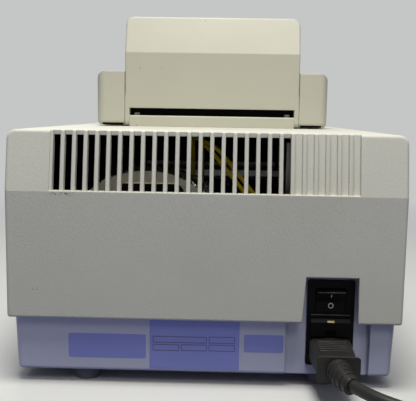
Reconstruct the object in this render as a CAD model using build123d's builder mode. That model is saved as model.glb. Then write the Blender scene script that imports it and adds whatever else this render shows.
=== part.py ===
from build123d import *

# Bench thermal cycler for 96 small tubes, modelled closed, as it stands on a bench.
# Frame: origin on the bench under the middle of the machine, +Z up, control panel towards -Y,
# air grille and mains inlet towards +Y. Millimetres.
import os
from math import asin, atan2, cos, pi, radians, sin, tan

os.makedirs("parts", exist_ok=True)

# Runs along Y that make up the depth, from the front edge to the rear face
nose_run = 4.5
panel_run = 103.0
lid_setback = 8.0
block_setback = 70.0
hinge_setback = 63.3
fan_setback = 28.7
fan_depth = 25.0
coil_gap = 24.0
coil_length = 52.0
rear_gap = 36.5
front_runs = nose_run + panel_run + lid_setback + block_setback + hinge_setback
depth = front_runs + fan_setback + fan_depth + coil_gap + coil_length + rear_gap
rear_y = depth / 2
front_y = -depth / 2
panel_foot_y = front_y + nose_run
flat_top_front_y = panel_foot_y + panel_run
lid_front_y = flat_top_front_y + lid_setback
block_y = lid_front_y + block_setback
hinge_rear_y = block_y + hinge_setback
fan_y = hinge_rear_y + fan_setback
coil_front_y = fan_y + fan_depth + coil_gap
coil_rear_y = coil_front_y + coil_length

# Overall, with the heights that the transformer inside asks for
housing_width = 260.2
housing_wall = 3.0
base_foot_z = 8.9
base_wall = 3.0
coil_d = 133.0
coil_floor_gap = 2.1
coil_top_gap = 20.5
coil_z = base_foot_z + base_wall + coil_floor_gap + coil_d / 2
top_z = coil_z + coil_d / 2 + coil_top_gap + housing_wall
seat_gap = 0.3
sheet = 1.5

# Upper housing, seen from the side
housing_foot_z = 47.0
crease_drop = 39.5
crease_z = top_z - crease_drop
rear_lean = 7.2
rear_foot_inset = 0.7
panel_drop = 72.1
nose_drop = 8.4
panel_foot_z = top_z - panel_drop
nose_z = panel_foot_z - nose_drop
front_foot_inset = 2.5
edge_round = 6.0
rear_round = 2.2
cavity_round = 1.0
foot_edge_round = 1.6

# Air grille in the rear panel
slot_spacing = 7.45
slot_width = 4.9
first_slot_x = 96.95
open_slots = 21
blind_slots = 6
slot_sill_rise = 0.6
slot_sill_z = crease_z + slot_sill_rise
blind_slot_depth = 3.0
ledge_depth = 0.8
ledge_end = 4.3
grille_bar_depth = 5.5

# Base tray
base_side_inset = 4.3
base_foot_width = housing_width - 2 * base_side_inset
base_taper = 2.5
base_rear_inset = 9.0
base_front_inset = 10.0
base_corner = 4.0
base_foot_round = 2.5
rim_height = 4.0
rim_width = 7.0
rear_recess_depth = 3.0
recess_left = 29.5
recess_right = 25.0
groove_width = 1.5

# Feet
foot_d = 20.0
foot_side_inset = 44.8
foot_rear_inset = 24.5
foot_front_inset = 29.5
foot_spigot_d = 8.0
foot_spigot = 2.5
tray_screw_d = 4.0
tray_screw_head_d = 8.0
tray_screw_inset = 24.0

# Power inlet module: switch above, fuse drawer, three pin socket below
inlet_side_inset = 41.5
inlet_x = -base_foot_width / 2 + inlet_side_inset
inlet_width = 31.4
inlet_foot_z = 15.9
inlet_top_z = 74.3
inlet_flange = 2.0
inlet_body_depth = 33.0
inlet_body_margin = 1.6
notch_top_left = 18.0
notch_top_right = 16.35
notch_foot_left = 20.1
notch_foot_right = 16.95
notch_top_z = 78.2
socket_z = 27.0
socket_width = 24.4
socket_height = 16.4
socket_depth = 16.0
socket_chamfer = 4.0
blade_width = 4.0
blade_thickness = 2.0
blade_length = 15.0
blade_side = 7.0
blade_drop = 2.0
drawer_z = 42.5
drawer_face_height = 11.6
drawer_width = 26.4
drawer_face = 3.0
drawer_height = 8.4
drawer_depth = 26.0
drawer_clearance = 0.2
drawer_notch = 7.0
drawer_side = 2.0
drawer_floor = 1.2
fuse_d = 5.2
fuse_length = 20.0
fuse_side = 6.5
fuse_clearance = 0.05
rocker_z = 60.3
rocker_width = 19.6
rocker_height = 16.4
rocker_depth = 9.0
rocker_axis_depth = 4.5
rocker_throw = 20.0
rocker_clearance = 0.4
rocker_crest = 1.3
rocker_dip = 0.4
rocker_pin_d = 2.4
rocker_pin_reach = 1.6
pin_clearance = 0.08

# Mains transformer, a wound ring on its side behind the grille
coil_x = 42.0
coil_hole_d = 42.0
coil_round = 11.0
coil_pad = 1.5
coil_pad_d = 124.0
coil_bolt_d = 8.0
coil_nut_d = 16.0
coil_nut = 6.5
coil_washer_d = 60.0
coil_washer = 2.0
coil_plate_width = 84.0
coil_plate_rise = 47.5
coil_plate_top_z = coil_z + coil_plate_rise
coil_plate_foot = 20.0
coil_plate = 3.0

# Terminal bracket and earth leads, behind the grille
terminal_x = 37.5
terminal_width = 45.0
terminal_rise = 4.5
terminal_top_z = crease_z + terminal_rise
terminal_rear_gap = 17.5
terminal_plate_y = rear_y - terminal_rear_gap
terminal_foot = 10.0
terminal_corner = 6.0
terminal_block_width = 36.0
terminal_block_height = 16.0
terminal_block_depth = 8.0
terminal_block_drop = 7.5
terminal_block_top_z = terminal_top_z - terminal_block_drop
terminal_screw_d = 4.0
terminal_screw_spacing = 9.0
terminal_row_spacing = 8.0
lead_d = 3.0
lead_inset = 30.0
lead_top_gap = 5.5
lead_top_z = top_z - lead_top_gap
lead_rise = 22.0
lead_rear_gap = 3.5
lead_mid_gap = 16.0
lead_pass = 10.0
lead_turn = 4.0
lead_slope_x = 18.4
lead_slope_drop = 5.4
lead_foot_drop = 39.7
lead_foot_gap = 23.0
lead_end_drop = 45.5
lead_end_gap = 13.0
lower_lead_shift = [(7, 0), (7, 0), (7, 0), (4, 3), (-1, 6), (0, 7), (0, 7), (0, 7)]

# Boards
bracket_side = 27.1
bracket_x = inlet_x + bracket_side
bracket_flange = 3.5
bracket_foot = 12.0
bracket_reach = 13.0
bracket_rear_gap = 30.0
bracket_front_y = coil_front_y - bracket_reach
bracket_rear_y = rear_y - bracket_rear_gap
bracket_top_gap = 6.5
bracket_top_z = top_z - bracket_top_gap
board_thickness = 1.6
board_stand = 5.0
board_margin = 8.0
capacitor_d = 25.0
capacitor_length = 30.0
capacitor_z = 52.0
capacitor_spacing = 34.0
spacer_d = 6.0

# Fan
fan_size = 119.0
fan_duct_wall = 2.0
fan_duct_d = fan_size - 2 * fan_duct_wall
fan_hub_d = 44.0
fan_tip_gap = 1.5
fan_blades = 7
fan_blade_angle = 38.0
fan_blade = 1.6
fan_shaft_d = 4.0
fan_corner_hole_d = 4.4
fan_hole_spacing = 105.0
fan_strut = 6.0
fan_spider = 4.0

# Thermal stack: block, heat pumps and finned sink
well_spacing = 9.0
well_columns = 12
well_rows = 8
well_mouth_d = 6.0
well_depth = 15.0
well_taper = 6.0
block_margin = 8.5
block_drop = 1.9
block_top_z = top_z - block_drop
block_height = 29.0
pump_size = 38.0
pump_spacing = 39.5
pump_height = 3.6
sink_plate = 8.0
sink_fin_height = 62.0
sink_fin = 2.0
sink_fin_spacing = 6.0
sink_fins = 18
sink_width = 124.0
sink_reach = 44.0
sink_front_y = block_y - sink_reach
stand_thickness = 2.0
stand_flange = 8.0

# Block surround in the housing's top
surround_band = 8.0
surround_corner = 8.0
surround_lip = 4.0
surround_depth = 6.0
block_gap = 1.0

# Control panel
keypad_side_inset = 22.1
keypad_width = housing_width - 2 * keypad_side_inset
keypad_height = 104.0
keypad_thickness = 0.8
keypad_corner = 6.0
window_inset = 20.0
keys_inset = 48.0
window_keys_gap = 44.0
window_width = keypad_width - window_inset - keys_inset - window_keys_gap
window_height = 40.0
window_x = -keypad_width / 2 + window_inset + window_width / 2
window_v = 22.0
window_lap = 2.0
window_thickness = 1.6
display_depth = 8.0
display_margin = 5.0
key_size = 15.0
key_gap = 4.0
key_rise = 0.5
key_columns = 4
key_rows = 4
key_x = keypad_width / 2 - keys_inset
soft_key_flat = 0.7
panel_board_side = 4.0
panel_board_end = 8.0
panel_post_side = 8.0
panel_post_end = 14.0
soft_key_columns = 5
soft_key_v = -22.0

# Hinge on the housing's top
hinge_half = 71.5
hinge_length = 13.3
hinge_front_y = hinge_rear_y - hinge_length
hinge_height = 9.5
hinge_top_z = top_z + hinge_height
axis_inset = 4.4
axis_y = hinge_rear_y - axis_inset
axis_rise = 5.0
axis_z = top_z + axis_rise
hinge_pin_d = 5.0
hinge_pin_half = 92.0
hinge_screw_x = 66.0
hinge_screw_head_d = 4.9
hinge_screw_head = 2.4
hinge_screw_d = 2.8
hinge_screw_inset = 10.3
hinge_screw_y = hinge_rear_y - hinge_screw_inset

# Lid housing: two side pods joined by a deck
lid_half = 100.2
lid_rear_y = hinge_rear_y
lid_gap = 0.9
lid_height = 46.3
lid_nose_rise = 25.6
lid_foot_z = top_z + lid_gap
lid_top_z = lid_foot_z + lid_height
lid_nose_z = lid_foot_z + lid_nose_rise
lid_slope_run = 40.0
lid_slope_y = lid_front_y + lid_slope_run
lid_corner = 7.0
lid_foot_round = 4.0
lid_wall = 2.5
side_gap = 0.3
deck_rise = 22.6
deck_z = lid_foot_z + deck_rise
deck = 3.0
deck_inset = 11.4
deck_rear_y = hinge_rear_y - deck_inset
skirt_height = 2.5
skirt_inset = 14.8
skirt_rear_y = hinge_rear_y - skirt_inset
skirt_slot = 2.1
skirt_slot_z = lid_foot_z + skirt_slot
skirt_slot_half = 95.1

# Lever hood over the lid
hood_half = 75.4
hood_side_wall = 3.9
hood_wall = 3.0
hood_foot_rise = 15.0
hood_crease_rise = 62.4
hood_top_rise = 31.2
hood_foot_z = lid_foot_z + hood_foot_rise
hood_crease_z = lid_foot_z + hood_crease_rise
hood_top_z = hood_crease_z + hood_top_rise
hood_lean = 9.8
hood_edge = 7.0
hood_rear_round = 1.3
hood_overhang = 14.0
hood_brow_run = 52.0
hood_front_y = lid_front_y - hood_overhang
hood_brow_y = lid_front_y + hood_brow_run
hood_brow_drop = 3.0
hood_nose_drop = 51.0
hood_side_rise = 26.2
hood_nose_z = hood_top_z - hood_nose_drop
hood_side_foot_z = lid_foot_z + hood_side_rise
leg_length = 10.1
leg_front_y = hinge_rear_y - leg_length
hood_rib_x = 30.0
hood_rib_length = 36.0

# Heated lid plate and its spring bridge
plate_gap = 3.2
plate_width = 118.0
plate_length = 80.0
plate_thickness = 8.0
plate_corner = 3.0
plate_opening_gap = 1.5
heater_thickness = 1.0
insulation_thickness = 5.0
bridge_rise = 16.0
bridge_z = deck_z + bridge_rise
bolt_sink = 5.0
bridge_thickness = 3.0
bridge_width = 106.0
bridge_length = 66.0
bridge_bar = 14.0
bolt_span_x = 90.0
bolt_span_y = 50.0
guide_bolt_d = 4.0
guide_bolt_head_d = 7.0
guide_bolt_head = 2.8
guide_bolt_clearance = 0.1
spring_d = 9.0
spring_wire = 1.0

# Mains lead
plug_width = 27.4
plug_height = 17.0
plug_corner = 2.5
plug_length = 38.5
plug_neck = 8.0
plug_shoulder = 6.0
plug_step = 1.5
plug_grips = 5
plug_grip_spacing = 3.6
plug_grip = 1.6
plug_grip_rise = 0.7
plug_clearance = 0.3
plug_nose_gap = 0.5
relief_d = 14.5
relief_tip_d = 10.2
relief_rings = 5
relief_ring = 1.8
relief_ring_rise = 0.7
cord_d = 7.6
# Route of the lead from its strain relief round to the coil on the bench
cord_points = [
    (-89.6, 255.8, 24.9),
    (-97.6, 269.3, 24.5),
    (-110.2, 279.4, 23.2),
    (-126.2, 284.8, 20.4),
    (-145.4, 284.2, 16.4),
    (-169.6, 278.7, 10.9),
    (-195.2, 270.0, 6.3),
    (-219.3, 259.8, 4.0),
]
coil_turn_d = 76.4
coil_rows = 4
coil_arc = 68.0
coil_sink = 0.5
tail_length = 42.0
wall_plug_length = 30.0
wall_plug_width = 25.0
wall_plug_height = 21.8
wall_plug_corner = 5.0
wall_plug_cone = 0.55
wall_plug_blade = 17.0
wall_plug_blade_width = 6.4
wall_plug_blade_thickness = 1.5
wall_plug_blade_spacing = 12.7
wall_plug_earth_d = 4.8
wall_plug_earth_length = 20.0
wall_plug_blade_rise = 3.7
wall_plug_earth_drop = 5.3


def from_rear(y):
    """Upright plane at y, seen from behind the machine; its extrusions run forward."""
    return Plane.XZ.offset(-y)


def save(piece, name):
    piece.part.label = name
    export_step(piece.part, f"parts/{name}.step")


def rear_rims(form, rim_top_z):
    """Outline of the rear faces of a form, without its foot and its crease."""
    rears = [f for f in form.faces() if f.normal_at().Y > 0.9]
    edges = [e for f in rears for e in f.edges()]
    return [e for e in edges if abs(e.center().X) > 1 or e.center().Z > rim_top_z - 1]


# Upper housing
def housing_form(inset, foot_z, corner, rear_corner):
    """Solid with the housing's side profile, drawn in by inset on every side."""
    foot_rear_y = rear_y - rear_foot_inset
    foot_front_y = front_y + front_foot_inset
    with BuildPart() as form:
        with BuildSketch(Plane.YZ):
            with BuildLine():
                Polyline(
                    (foot_rear_y, foot_z),
                    (rear_y, crease_z),
                    (rear_y - rear_lean, top_z),
                    (flat_top_front_y, top_z),
                    (panel_foot_y, panel_foot_z),
                    (front_y, nose_z),
                    (foot_front_y, foot_z),
                    close=True,
                )
            make_face()
            if inset:
                offset(amount=-inset, kind=Kind.INTERSECTION)
        extrude(amount=housing_width / 2 - inset, both=True)
        ends = form.faces().sort_by(Axis.X)
        rims = ends[0].edges() + ends[-1].edges()
        low_z = form.faces().sort_by(Axis.Z)[0].center().Z
        rear_rim_y = rear_y - rear_lean - inset
        fillet([e for e in rims if e.center().Z > low_z + 1 and e.center().Y < rear_rim_y], corner)
        fillet(rear_rims(form, top_z - inset), rear_corner)
    return form.part


def grille_slot(width, blind_depth, sill_z):
    """Cutter for one upright slot in the leaning rear panel."""
    lean = rear_lean / (top_z - crease_z)
    sill_y = rear_y - lean * (sill_z - crease_z)
    over_z = top_z + 1
    over_y = rear_y - lean * (over_z - crease_z)
    with BuildPart() as cutter:
        with BuildSketch(Plane.YZ):
            with BuildLine():
                Polyline(
                    (sill_y + 2, sill_z),
                    (over_y + 2, over_z),
                    (over_y - blind_depth, over_z),
                    (sill_y - blind_depth, sill_z),
                    close=True,
                )
            make_face()
            if blind_depth > housing_wall:
                with BuildLine():
                    Polyline(
                        (over_y - 2 * blind_depth, top_z - housing_wall),
                        (over_y - 2 * blind_depth, over_z),
                        (over_y - blind_slot_depth, over_z),
                        (over_y - blind_slot_depth, top_z - housing_wall),
                        close=True,
                    )
                make_face(mode=Mode.SUBTRACT)
        extrude(amount=width / 2, both=True)
    return cutter.part


panel_angle = atan2(top_z - panel_foot_z, flat_top_front_y - panel_foot_y)
panel_normal = (0, -sin(panel_angle), cos(panel_angle))
panel_middle_y = (flat_top_front_y + panel_foot_y) / 2
panel_middle_z = (top_z + panel_foot_z) / 2


def on_panel(height):
    """Plane parallel to the control panel, height above it; its extrusions run outwards."""
    origin = (0, panel_middle_y + height * panel_normal[1], panel_middle_z + height * panel_normal[2])
    return Plane(origin=origin, x_dir=(1, 0, 0), z_dir=panel_normal)


cavity_foot_z = housing_foot_z - 2 * housing_wall
housing_cavity = housing_form(housing_wall, cavity_foot_z, edge_round - housing_wall, cavity_round)
slot_xs = [first_slot_x - slot_spacing * n for n in range(open_slots + blind_slots)]
grille_middle_x = (slot_xs[0] + slot_xs[-1]) / 2
grille_half = (slot_xs[0] - slot_xs[-1]) / 2 + slot_spacing
ledge_left_x = slot_xs[0] + ledge_end
ledge_right_x = slot_xs[-1] - slot_width / 2

block_width = well_spacing * (well_columns - 1) + 2 * block_margin
block_length = well_spacing * (well_rows - 1) + 2 * block_margin
surround_width = block_width + 2 * surround_band
surround_length = block_length + 2 * surround_band

with BuildPart() as upper_housing:
    add(housing_form(0, housing_foot_z, edge_round, rear_round))
    foot_rims = [
        e for e in upper_housing.faces().sort_by(Axis.Z)[0].edges() if abs(e.center().X) > housing_width / 2 - 1
    ]
    fillet(foot_rims, foot_edge_round)
    add(housing_cavity, mode=Mode.SUBTRACT)
    # Thicker wall behind the grille, so that its bars are deep
    with BuildSketch(Plane.YZ.offset(grille_middle_x)):
        with BuildLine():
            Polyline(
                (rear_y - housing_wall + 0.5, crease_z - housing_wall),
                (rear_y - rear_lean - housing_wall + 0.5, top_z - housing_wall + 0.5),
                (rear_y - rear_lean - grille_bar_depth, top_z - housing_wall + 0.5),
                (rear_y - grille_bar_depth, crease_z),
                close=True,
            )
        make_face()
    extrude(amount=grille_half, both=True)
    # Shallow recess of the grille, its open slots and its blind ones
    with Locations(((ledge_left_x + ledge_right_x) / 2, 0, 0)):
        add(grille_slot(ledge_left_x - ledge_right_x, ledge_depth, slot_sill_z), mode=Mode.SUBTRACT)
    with Locations(*[(x, 0, 0) for x in slot_xs[:open_slots]]):
        add(grille_slot(slot_width, 2 * grille_bar_depth, slot_sill_z), mode=Mode.SUBTRACT)
    with Locations(*[(x, 0, 0) for x in slot_xs[open_slots:]]):
        add(grille_slot(slot_width, blind_slot_depth, slot_sill_z), mode=Mode.SUBTRACT)
    # Notch for the power inlet, open at the foot
    with BuildSketch(from_rear(rear_y + 1)):
        with BuildLine():
            Polyline(
                (inlet_x - notch_foot_right, housing_foot_z - 1),
                (inlet_x + notch_foot_left, housing_foot_z - 1),
                (inlet_x + notch_top_left, notch_top_z),
                (inlet_x - notch_top_right, notch_top_z),
                close=True,
            )
        make_face()
    extrude(amount=3 * housing_wall, mode=Mode.SUBTRACT)
    # Opening over the thermal block, with a band around it for the surround
    with BuildSketch(Plane.XY.offset(top_z + 1)):
        with Locations((0, block_y)):
            RectangleRounded(surround_width, surround_length, surround_corner)
    extrude(amount=-2 * housing_wall, mode=Mode.SUBTRACT)
    # Recess for the keypad foil and window for the display
    with BuildSketch(on_panel(1)):
        RectangleRounded(keypad_width + 2 * seat_gap, keypad_height + 2 * seat_gap, keypad_corner + seat_gap)
    extrude(amount=-1 - keypad_thickness, mode=Mode.SUBTRACT)
    with BuildSketch(on_panel(1)):
        with Locations((window_x, window_v)):
            Rectangle(window_width, window_height)
    extrude(amount=-3 * housing_wall, mode=Mode.SUBTRACT)
    # Holes for the hinge screws
    with BuildSketch(Plane.XY.offset(top_z + 1)):
        with Locations((-hinge_screw_x, hinge_screw_y), (hinge_screw_x, hinge_screw_y)):
            Circle(hinge_screw_d / 2)
    extrude(amount=-2 * housing_wall, mode=Mode.SUBTRACT)
save(upper_housing, "upper_housing")

# Base tray
tray_height = housing_foot_z - base_foot_z
tray_rear_foot_y = rear_y - base_rear_inset
tray_front_foot_y = front_y + base_front_inset
tray_length = tray_rear_foot_y - tray_front_foot_y
tray_middle_y = (tray_rear_foot_y + tray_front_foot_y) / 2
floor_z = base_foot_z + base_wall
recess_rear_y = tray_rear_foot_y - rear_recess_depth
inlet_wall_y = recess_rear_y - base_wall
recess_left_x = inlet_x + recess_left
recess_right_x = inlet_x - recess_right
recess_middle_x = (recess_left_x + recess_right_x) / 2
recess_width = recess_left + recess_right
foot_x = base_foot_width / 2 - foot_side_inset
foot_rear_y = rear_y - foot_rear_inset
foot_front_y = front_y + foot_front_inset
rim_foot_z = housing_foot_z
tray_screw_xs = (-base_foot_width / 2 + tray_screw_inset, base_foot_width / 2 - tray_screw_inset)
tray_screw_ys = (tray_front_foot_y + tray_screw_inset, tray_rear_foot_y - tray_screw_inset)
tray_screws_at = [(x, y) for x in tray_screw_xs for y in tray_screw_ys]
feet_at = [(-foot_x, foot_front_y), (foot_x, foot_front_y), (-foot_x, foot_rear_y), (foot_x, foot_rear_y)]

with BuildPart() as rim_band:
    with BuildSketch(Plane.XY.offset(rim_foot_z - base_wall)):
        Rectangle(housing_width, depth)
    extrude(amount=base_wall + rim_height)
    add(housing_cavity, mode=Mode.INTERSECT)

with BuildPart() as base_tray:
    with BuildSketch(Plane.XY.offset(base_foot_z)):
        with Locations((0, tray_middle_y)):
            RectangleRounded(base_foot_width, tray_length, base_corner)
    extrude(amount=tray_height, taper=-base_taper)
    fillet(base_tray.faces().sort_by(Axis.Z)[0].edges(), base_foot_round)
    with BuildSketch(Plane.XY.offset(floor_z)):
        with Locations((0, tray_middle_y)):
            RectangleRounded(
                base_foot_width - 2 * base_wall, tray_length - 2 * base_wall, base_corner - base_wall
            )
    extrude(amount=tray_height, taper=-base_taper, mode=Mode.SUBTRACT)
    # Flat wall that carries the inlet, behind the recess in the rear
    with BuildSketch(from_rear(recess_rear_y)):
        with BuildLine():
            Polyline(
                (recess_left_x + base_wall, floor_z),
                (recess_right_x - base_wall, floor_z),
                (recess_right_x - base_wall, notch_top_z + base_wall),
                (recess_left_x + base_wall, notch_top_z + base_wall),
                close=True,
            )
        make_face()
    extrude(amount=base_wall)
    with BuildSketch(from_rear(rear_y)):
        with Locations((recess_middle_x, housing_foot_z / 2)):
            Rectangle(recess_width, 2 * housing_foot_z)
    extrude(amount=rear_y - recess_rear_y, mode=Mode.SUBTRACT)
    with BuildSketch(from_rear(rear_y)):
        with Locations((recess_right_x - groove_width / 2, housing_foot_z / 2)):
            Rectangle(groove_width, 2 * housing_foot_z)
    extrude(amount=rear_y - recess_rear_y + groove_width, mode=Mode.SUBTRACT)
    # Rim that centres the housing
    rim_width_x = housing_width - 2 * housing_wall - 2 * seat_gap
    rim_rear_y = rear_y - rear_foot_inset - housing_wall - seat_gap
    rim_front_y = front_y + front_foot_inset + housing_wall + seat_gap
    with BuildSketch(Plane.XY.offset(rim_foot_z)):
        with Locations((0, (rim_rear_y + rim_front_y) / 2)):
            RectangleRounded(rim_width_x, rim_rear_y - rim_front_y, edge_round - housing_wall)
            RectangleRounded(
                rim_width_x - 2 * rim_width,
                rim_rear_y - rim_front_y - 2 * rim_width - base_rear_inset,
                edge_round - housing_wall,
                mode=Mode.SUBTRACT,
            )
        with Locations((recess_middle_x, rim_rear_y)):
            Rectangle(recess_width + 4 * base_wall, 4 * rim_width, mode=Mode.SUBTRACT)
    extrude(amount=rim_height)
    # Opening for the inlet's body
    with BuildSketch(from_rear(rear_y)):
        with Locations((inlet_x, (inlet_foot_z + inlet_top_z) / 2)):
            Rectangle(
                inlet_width - 2 * inlet_body_margin + 2 * seat_gap,
                inlet_top_z - inlet_foot_z - 2 * inlet_body_margin + 2 * seat_gap,
            )
    extrude(amount=rear_y - inlet_wall_y + 1, mode=Mode.SUBTRACT)
    # Holes for the feet's spigots and the housing screws
    with BuildSketch(Plane.XY.offset(base_foot_z)):
        with Locations(*feet_at):
            Circle(foot_spigot_d / 2)
        with Locations(*tray_screws_at):
            Circle(tray_screw_d / 2 + seat_gap)
    extrude(amount=base_wall, mode=Mode.SUBTRACT)
save(base_tray, "base_tray")

# Feet and tray screws
with BuildPart() as rubber_feet:
    with BuildSketch(Plane.XY):
        with Locations(*feet_at):
            Circle(foot_d / 2 - 1)
    extrude(amount=base_foot_z, taper=-asin(1 / base_foot_z) * 180 / pi)
    with BuildSketch(Plane.XY.offset(base_foot_z)):
        with Locations(*feet_at):
            Circle(foot_spigot_d / 2)
    extrude(amount=foot_spigot)
save(rubber_feet, "rubber_feet")

with BuildPart() as tray_screws:
    with BuildSketch(Plane.XY.offset(base_foot_z - 2)):
        with Locations(*tray_screws_at):
            Circle(tray_screw_head_d / 2)
    extrude(amount=2)
    with BuildSketch(Plane.XY.offset(base_foot_z)):
        with Locations(*tray_screws_at):
            Circle(tray_screw_d / 2)
    extrude(amount=3 * base_wall)
save(tray_screws, "tray_screws")

# Power inlet
inlet_face_y = recess_rear_y + inlet_flange
inlet_middle_z = (inlet_foot_z + inlet_top_z) / 2
rocker_well_width = rocker_width + 2 * rocker_clearance
rocker_well_height = rocker_height + 2 * rocker_clearance
rocker_axis_y = inlet_face_y - rocker_axis_depth

with BuildPart() as power_inlet:
    with BuildSketch(from_rear(inlet_face_y)):
        with Locations((inlet_x, inlet_middle_z)):
            RectangleRounded(inlet_width, inlet_top_z - inlet_foot_z, 1.5)
    extrude(amount=inlet_flange)
    with BuildSketch(from_rear(recess_rear_y)):
        with Locations((inlet_x, inlet_middle_z)):
            Rectangle(
                inlet_width - 2 * inlet_body_margin, inlet_top_z - inlet_foot_z - 2 * inlet_body_margin
            )
    extrude(amount=inlet_body_depth)
    # Well of the rocker
    with BuildSketch(from_rear(inlet_face_y)):
        with Locations((inlet_x, rocker_z)):
            Rectangle(rocker_well_width, rocker_well_height)
    extrude(amount=rocker_depth + 2 * rocker_clearance + 1, mode=Mode.SUBTRACT)
    with BuildSketch(Plane.YZ.offset(inlet_x)):
        with Locations((rocker_axis_y, rocker_z)):
            Circle(rocker_pin_d / 2 + pin_clearance)
    extrude(amount=rocker_width / 2 + 2, both=True, mode=Mode.SUBTRACT)
    # Slot of the fuse drawer
    with BuildSketch(from_rear(inlet_face_y)):
        with Locations((inlet_x, drawer_z)):
            Rectangle(
                drawer_width - 2 * drawer_side + 2 * drawer_clearance, drawer_height + 2 * drawer_clearance
            )
    extrude(amount=drawer_depth + 2 * drawer_clearance, mode=Mode.SUBTRACT)
    # Socket
    with BuildSketch(from_rear(inlet_face_y)) as socket_mouth:
        with Locations((inlet_x, socket_z)):
            Rectangle(socket_width, socket_height)
        chamfer(socket_mouth.vertices().group_by(Axis.Z)[0], socket_chamfer)
    extrude(amount=socket_depth, mode=Mode.SUBTRACT)
save(power_inlet, "power_inlet")

socket_floor_y = inlet_face_y - socket_depth
blades_at = [
    (inlet_x - blade_side, socket_z + blade_drop),
    (inlet_x + blade_side, socket_z + blade_drop),
    (inlet_x, socket_z - blade_drop),
]
with BuildPart() as inlet_blades:
    with BuildSketch(from_rear(socket_floor_y + blade_length)):
        with Locations(*blades_at):
            Rectangle(blade_thickness, blade_width)
    extrude(amount=blade_length)
save(inlet_blades, "inlet_blades")

with BuildPart() as fuse_drawer:
    with BuildSketch(from_rear(inlet_face_y + drawer_face)) as drawer_front:
        with Locations((inlet_x, drawer_z)):
            Rectangle(drawer_width, drawer_face_height)
        with Locations((inlet_x, drawer_z - drawer_face_height / 2)):
            Rectangle(drawer_notch, drawer_face_height * 0.7, mode=Mode.SUBTRACT)
    extrude(amount=drawer_face - seat_gap)
    top_rear_edge = fuse_drawer.edges().filter_by(Axis.X).group_by(Axis.Z)[-1].sort_by(Axis.Y)[-1]
    chamfer(top_rear_edge, drawer_face * 0.7)
    with BuildSketch(from_rear(inlet_face_y + seat_gap)):
        with Locations((inlet_x, drawer_z)):
            Rectangle(drawer_width - 2 * drawer_side, drawer_height)
    extrude(amount=drawer_depth)
    # Pockets for the two fuses, open upwards
    fuse_y = inlet_face_y - drawer_depth / 2
    with BuildSketch(Plane.XY.offset(drawer_z + drawer_height / 2)):
        with Locations((inlet_x - fuse_side, fuse_y), (inlet_x + fuse_side, fuse_y)):
            Rectangle(fuse_d + 2 * drawer_clearance, fuse_length + 2 * drawer_clearance)
    extrude(amount=-drawer_height + drawer_floor, mode=Mode.SUBTRACT)
save(fuse_drawer, "fuse_drawer")

fuse_z = drawer_z - drawer_height / 2 + drawer_floor + fuse_d / 2 + fuse_clearance
with BuildPart() as fuses:
    with BuildSketch(from_rear(fuse_y + fuse_length / 2)):
        with Locations((inlet_x - fuse_side, fuse_z), (inlet_x + fuse_side, fuse_z)):
            Circle(fuse_d / 2)
    extrude(amount=fuse_length)
save(fuses, "fuses")

# Rocker, standing at OFF: the lower half is in and the upper half stands out
with BuildPart() as switch_rocker:
    half = rocker_height / 2
    crest_y = rocker_axis_y + rocker_axis_depth + rocker_crest
    flank_y = rocker_axis_y + rocker_axis_depth * 0.35
    with BuildSketch(Plane.YZ.offset(inlet_x)) as rocker_side:
        with BuildLine():
            Polyline(
                (rocker_axis_y - rocker_axis_depth, rocker_z - half * 0.55),
                (flank_y, rocker_z - half * 0.97),
                (crest_y, rocker_z - half * 0.90),
                (rocker_axis_y + rocker_axis_depth - rocker_dip, rocker_z),
                (crest_y, rocker_z + half * 0.90),
                (flank_y, rocker_z + half * 0.97),
                (rocker_axis_y - rocker_axis_depth, rocker_z + half * 0.55),
                close=True,
            )
        make_face()
    extrude(amount=rocker_width / 2, both=True)
    with BuildSketch(Plane.YZ.offset(inlet_x)):
        with Locations((rocker_axis_y, rocker_z)):
            Circle(rocker_pin_d / 2)
    extrude(amount=rocker_width / 2 + rocker_pin_reach, both=True)
rocker_axis = Axis((0, rocker_axis_y, rocker_z), (-1, 0, 0))
switch_rocker.part = switch_rocker.part.rotate(rocker_axis, rocker_throw / 2)
save(switch_rocker, "switch_rocker")

# Mains transformer
coil_r = coil_d / 2
with BuildPart() as transformer_coil:
    with BuildSketch(from_rear(coil_rear_y)):
        with Locations((coil_x, coil_z)):
            Circle(coil_r)
            Circle(coil_hole_d / 2, mode=Mode.SUBTRACT)
    extrude(amount=coil_length)
    fillet(transformer_coil.edges().filter_by(GeomType.CIRCLE), coil_round)
save(transformer_coil, "transformer_coil")

with BuildPart() as transformer_pad:
    with BuildSketch(from_rear(coil_rear_y + coil_pad)):
        with Locations((coil_x, coil_z)):
            Circle(coil_pad_d / 2)
            Circle(coil_bolt_d / 2 + seat_gap, mode=Mode.SUBTRACT)
    extrude(amount=coil_pad)
save(transformer_pad, "transformer_pad")

with BuildPart() as transformer_plate:
    with BuildSketch(Plane.XZ.offset(-coil_front_y)):
        with Locations((coil_x, (floor_z + coil_plate_top_z) / 2)):
            Rectangle(coil_plate_width, coil_plate_top_z - floor_z)
        with Locations((coil_x, coil_z)):
            Circle(coil_bolt_d / 2 + seat_gap, mode=Mode.SUBTRACT)
    extrude(amount=coil_plate)
    with BuildSketch(Plane.XY.offset(floor_z)):
        with Locations((coil_x, coil_front_y - coil_plate_foot / 2)):
            Rectangle(coil_plate_width, coil_plate_foot)
    extrude(amount=coil_plate)
save(transformer_plate, "transformer_plate")

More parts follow.
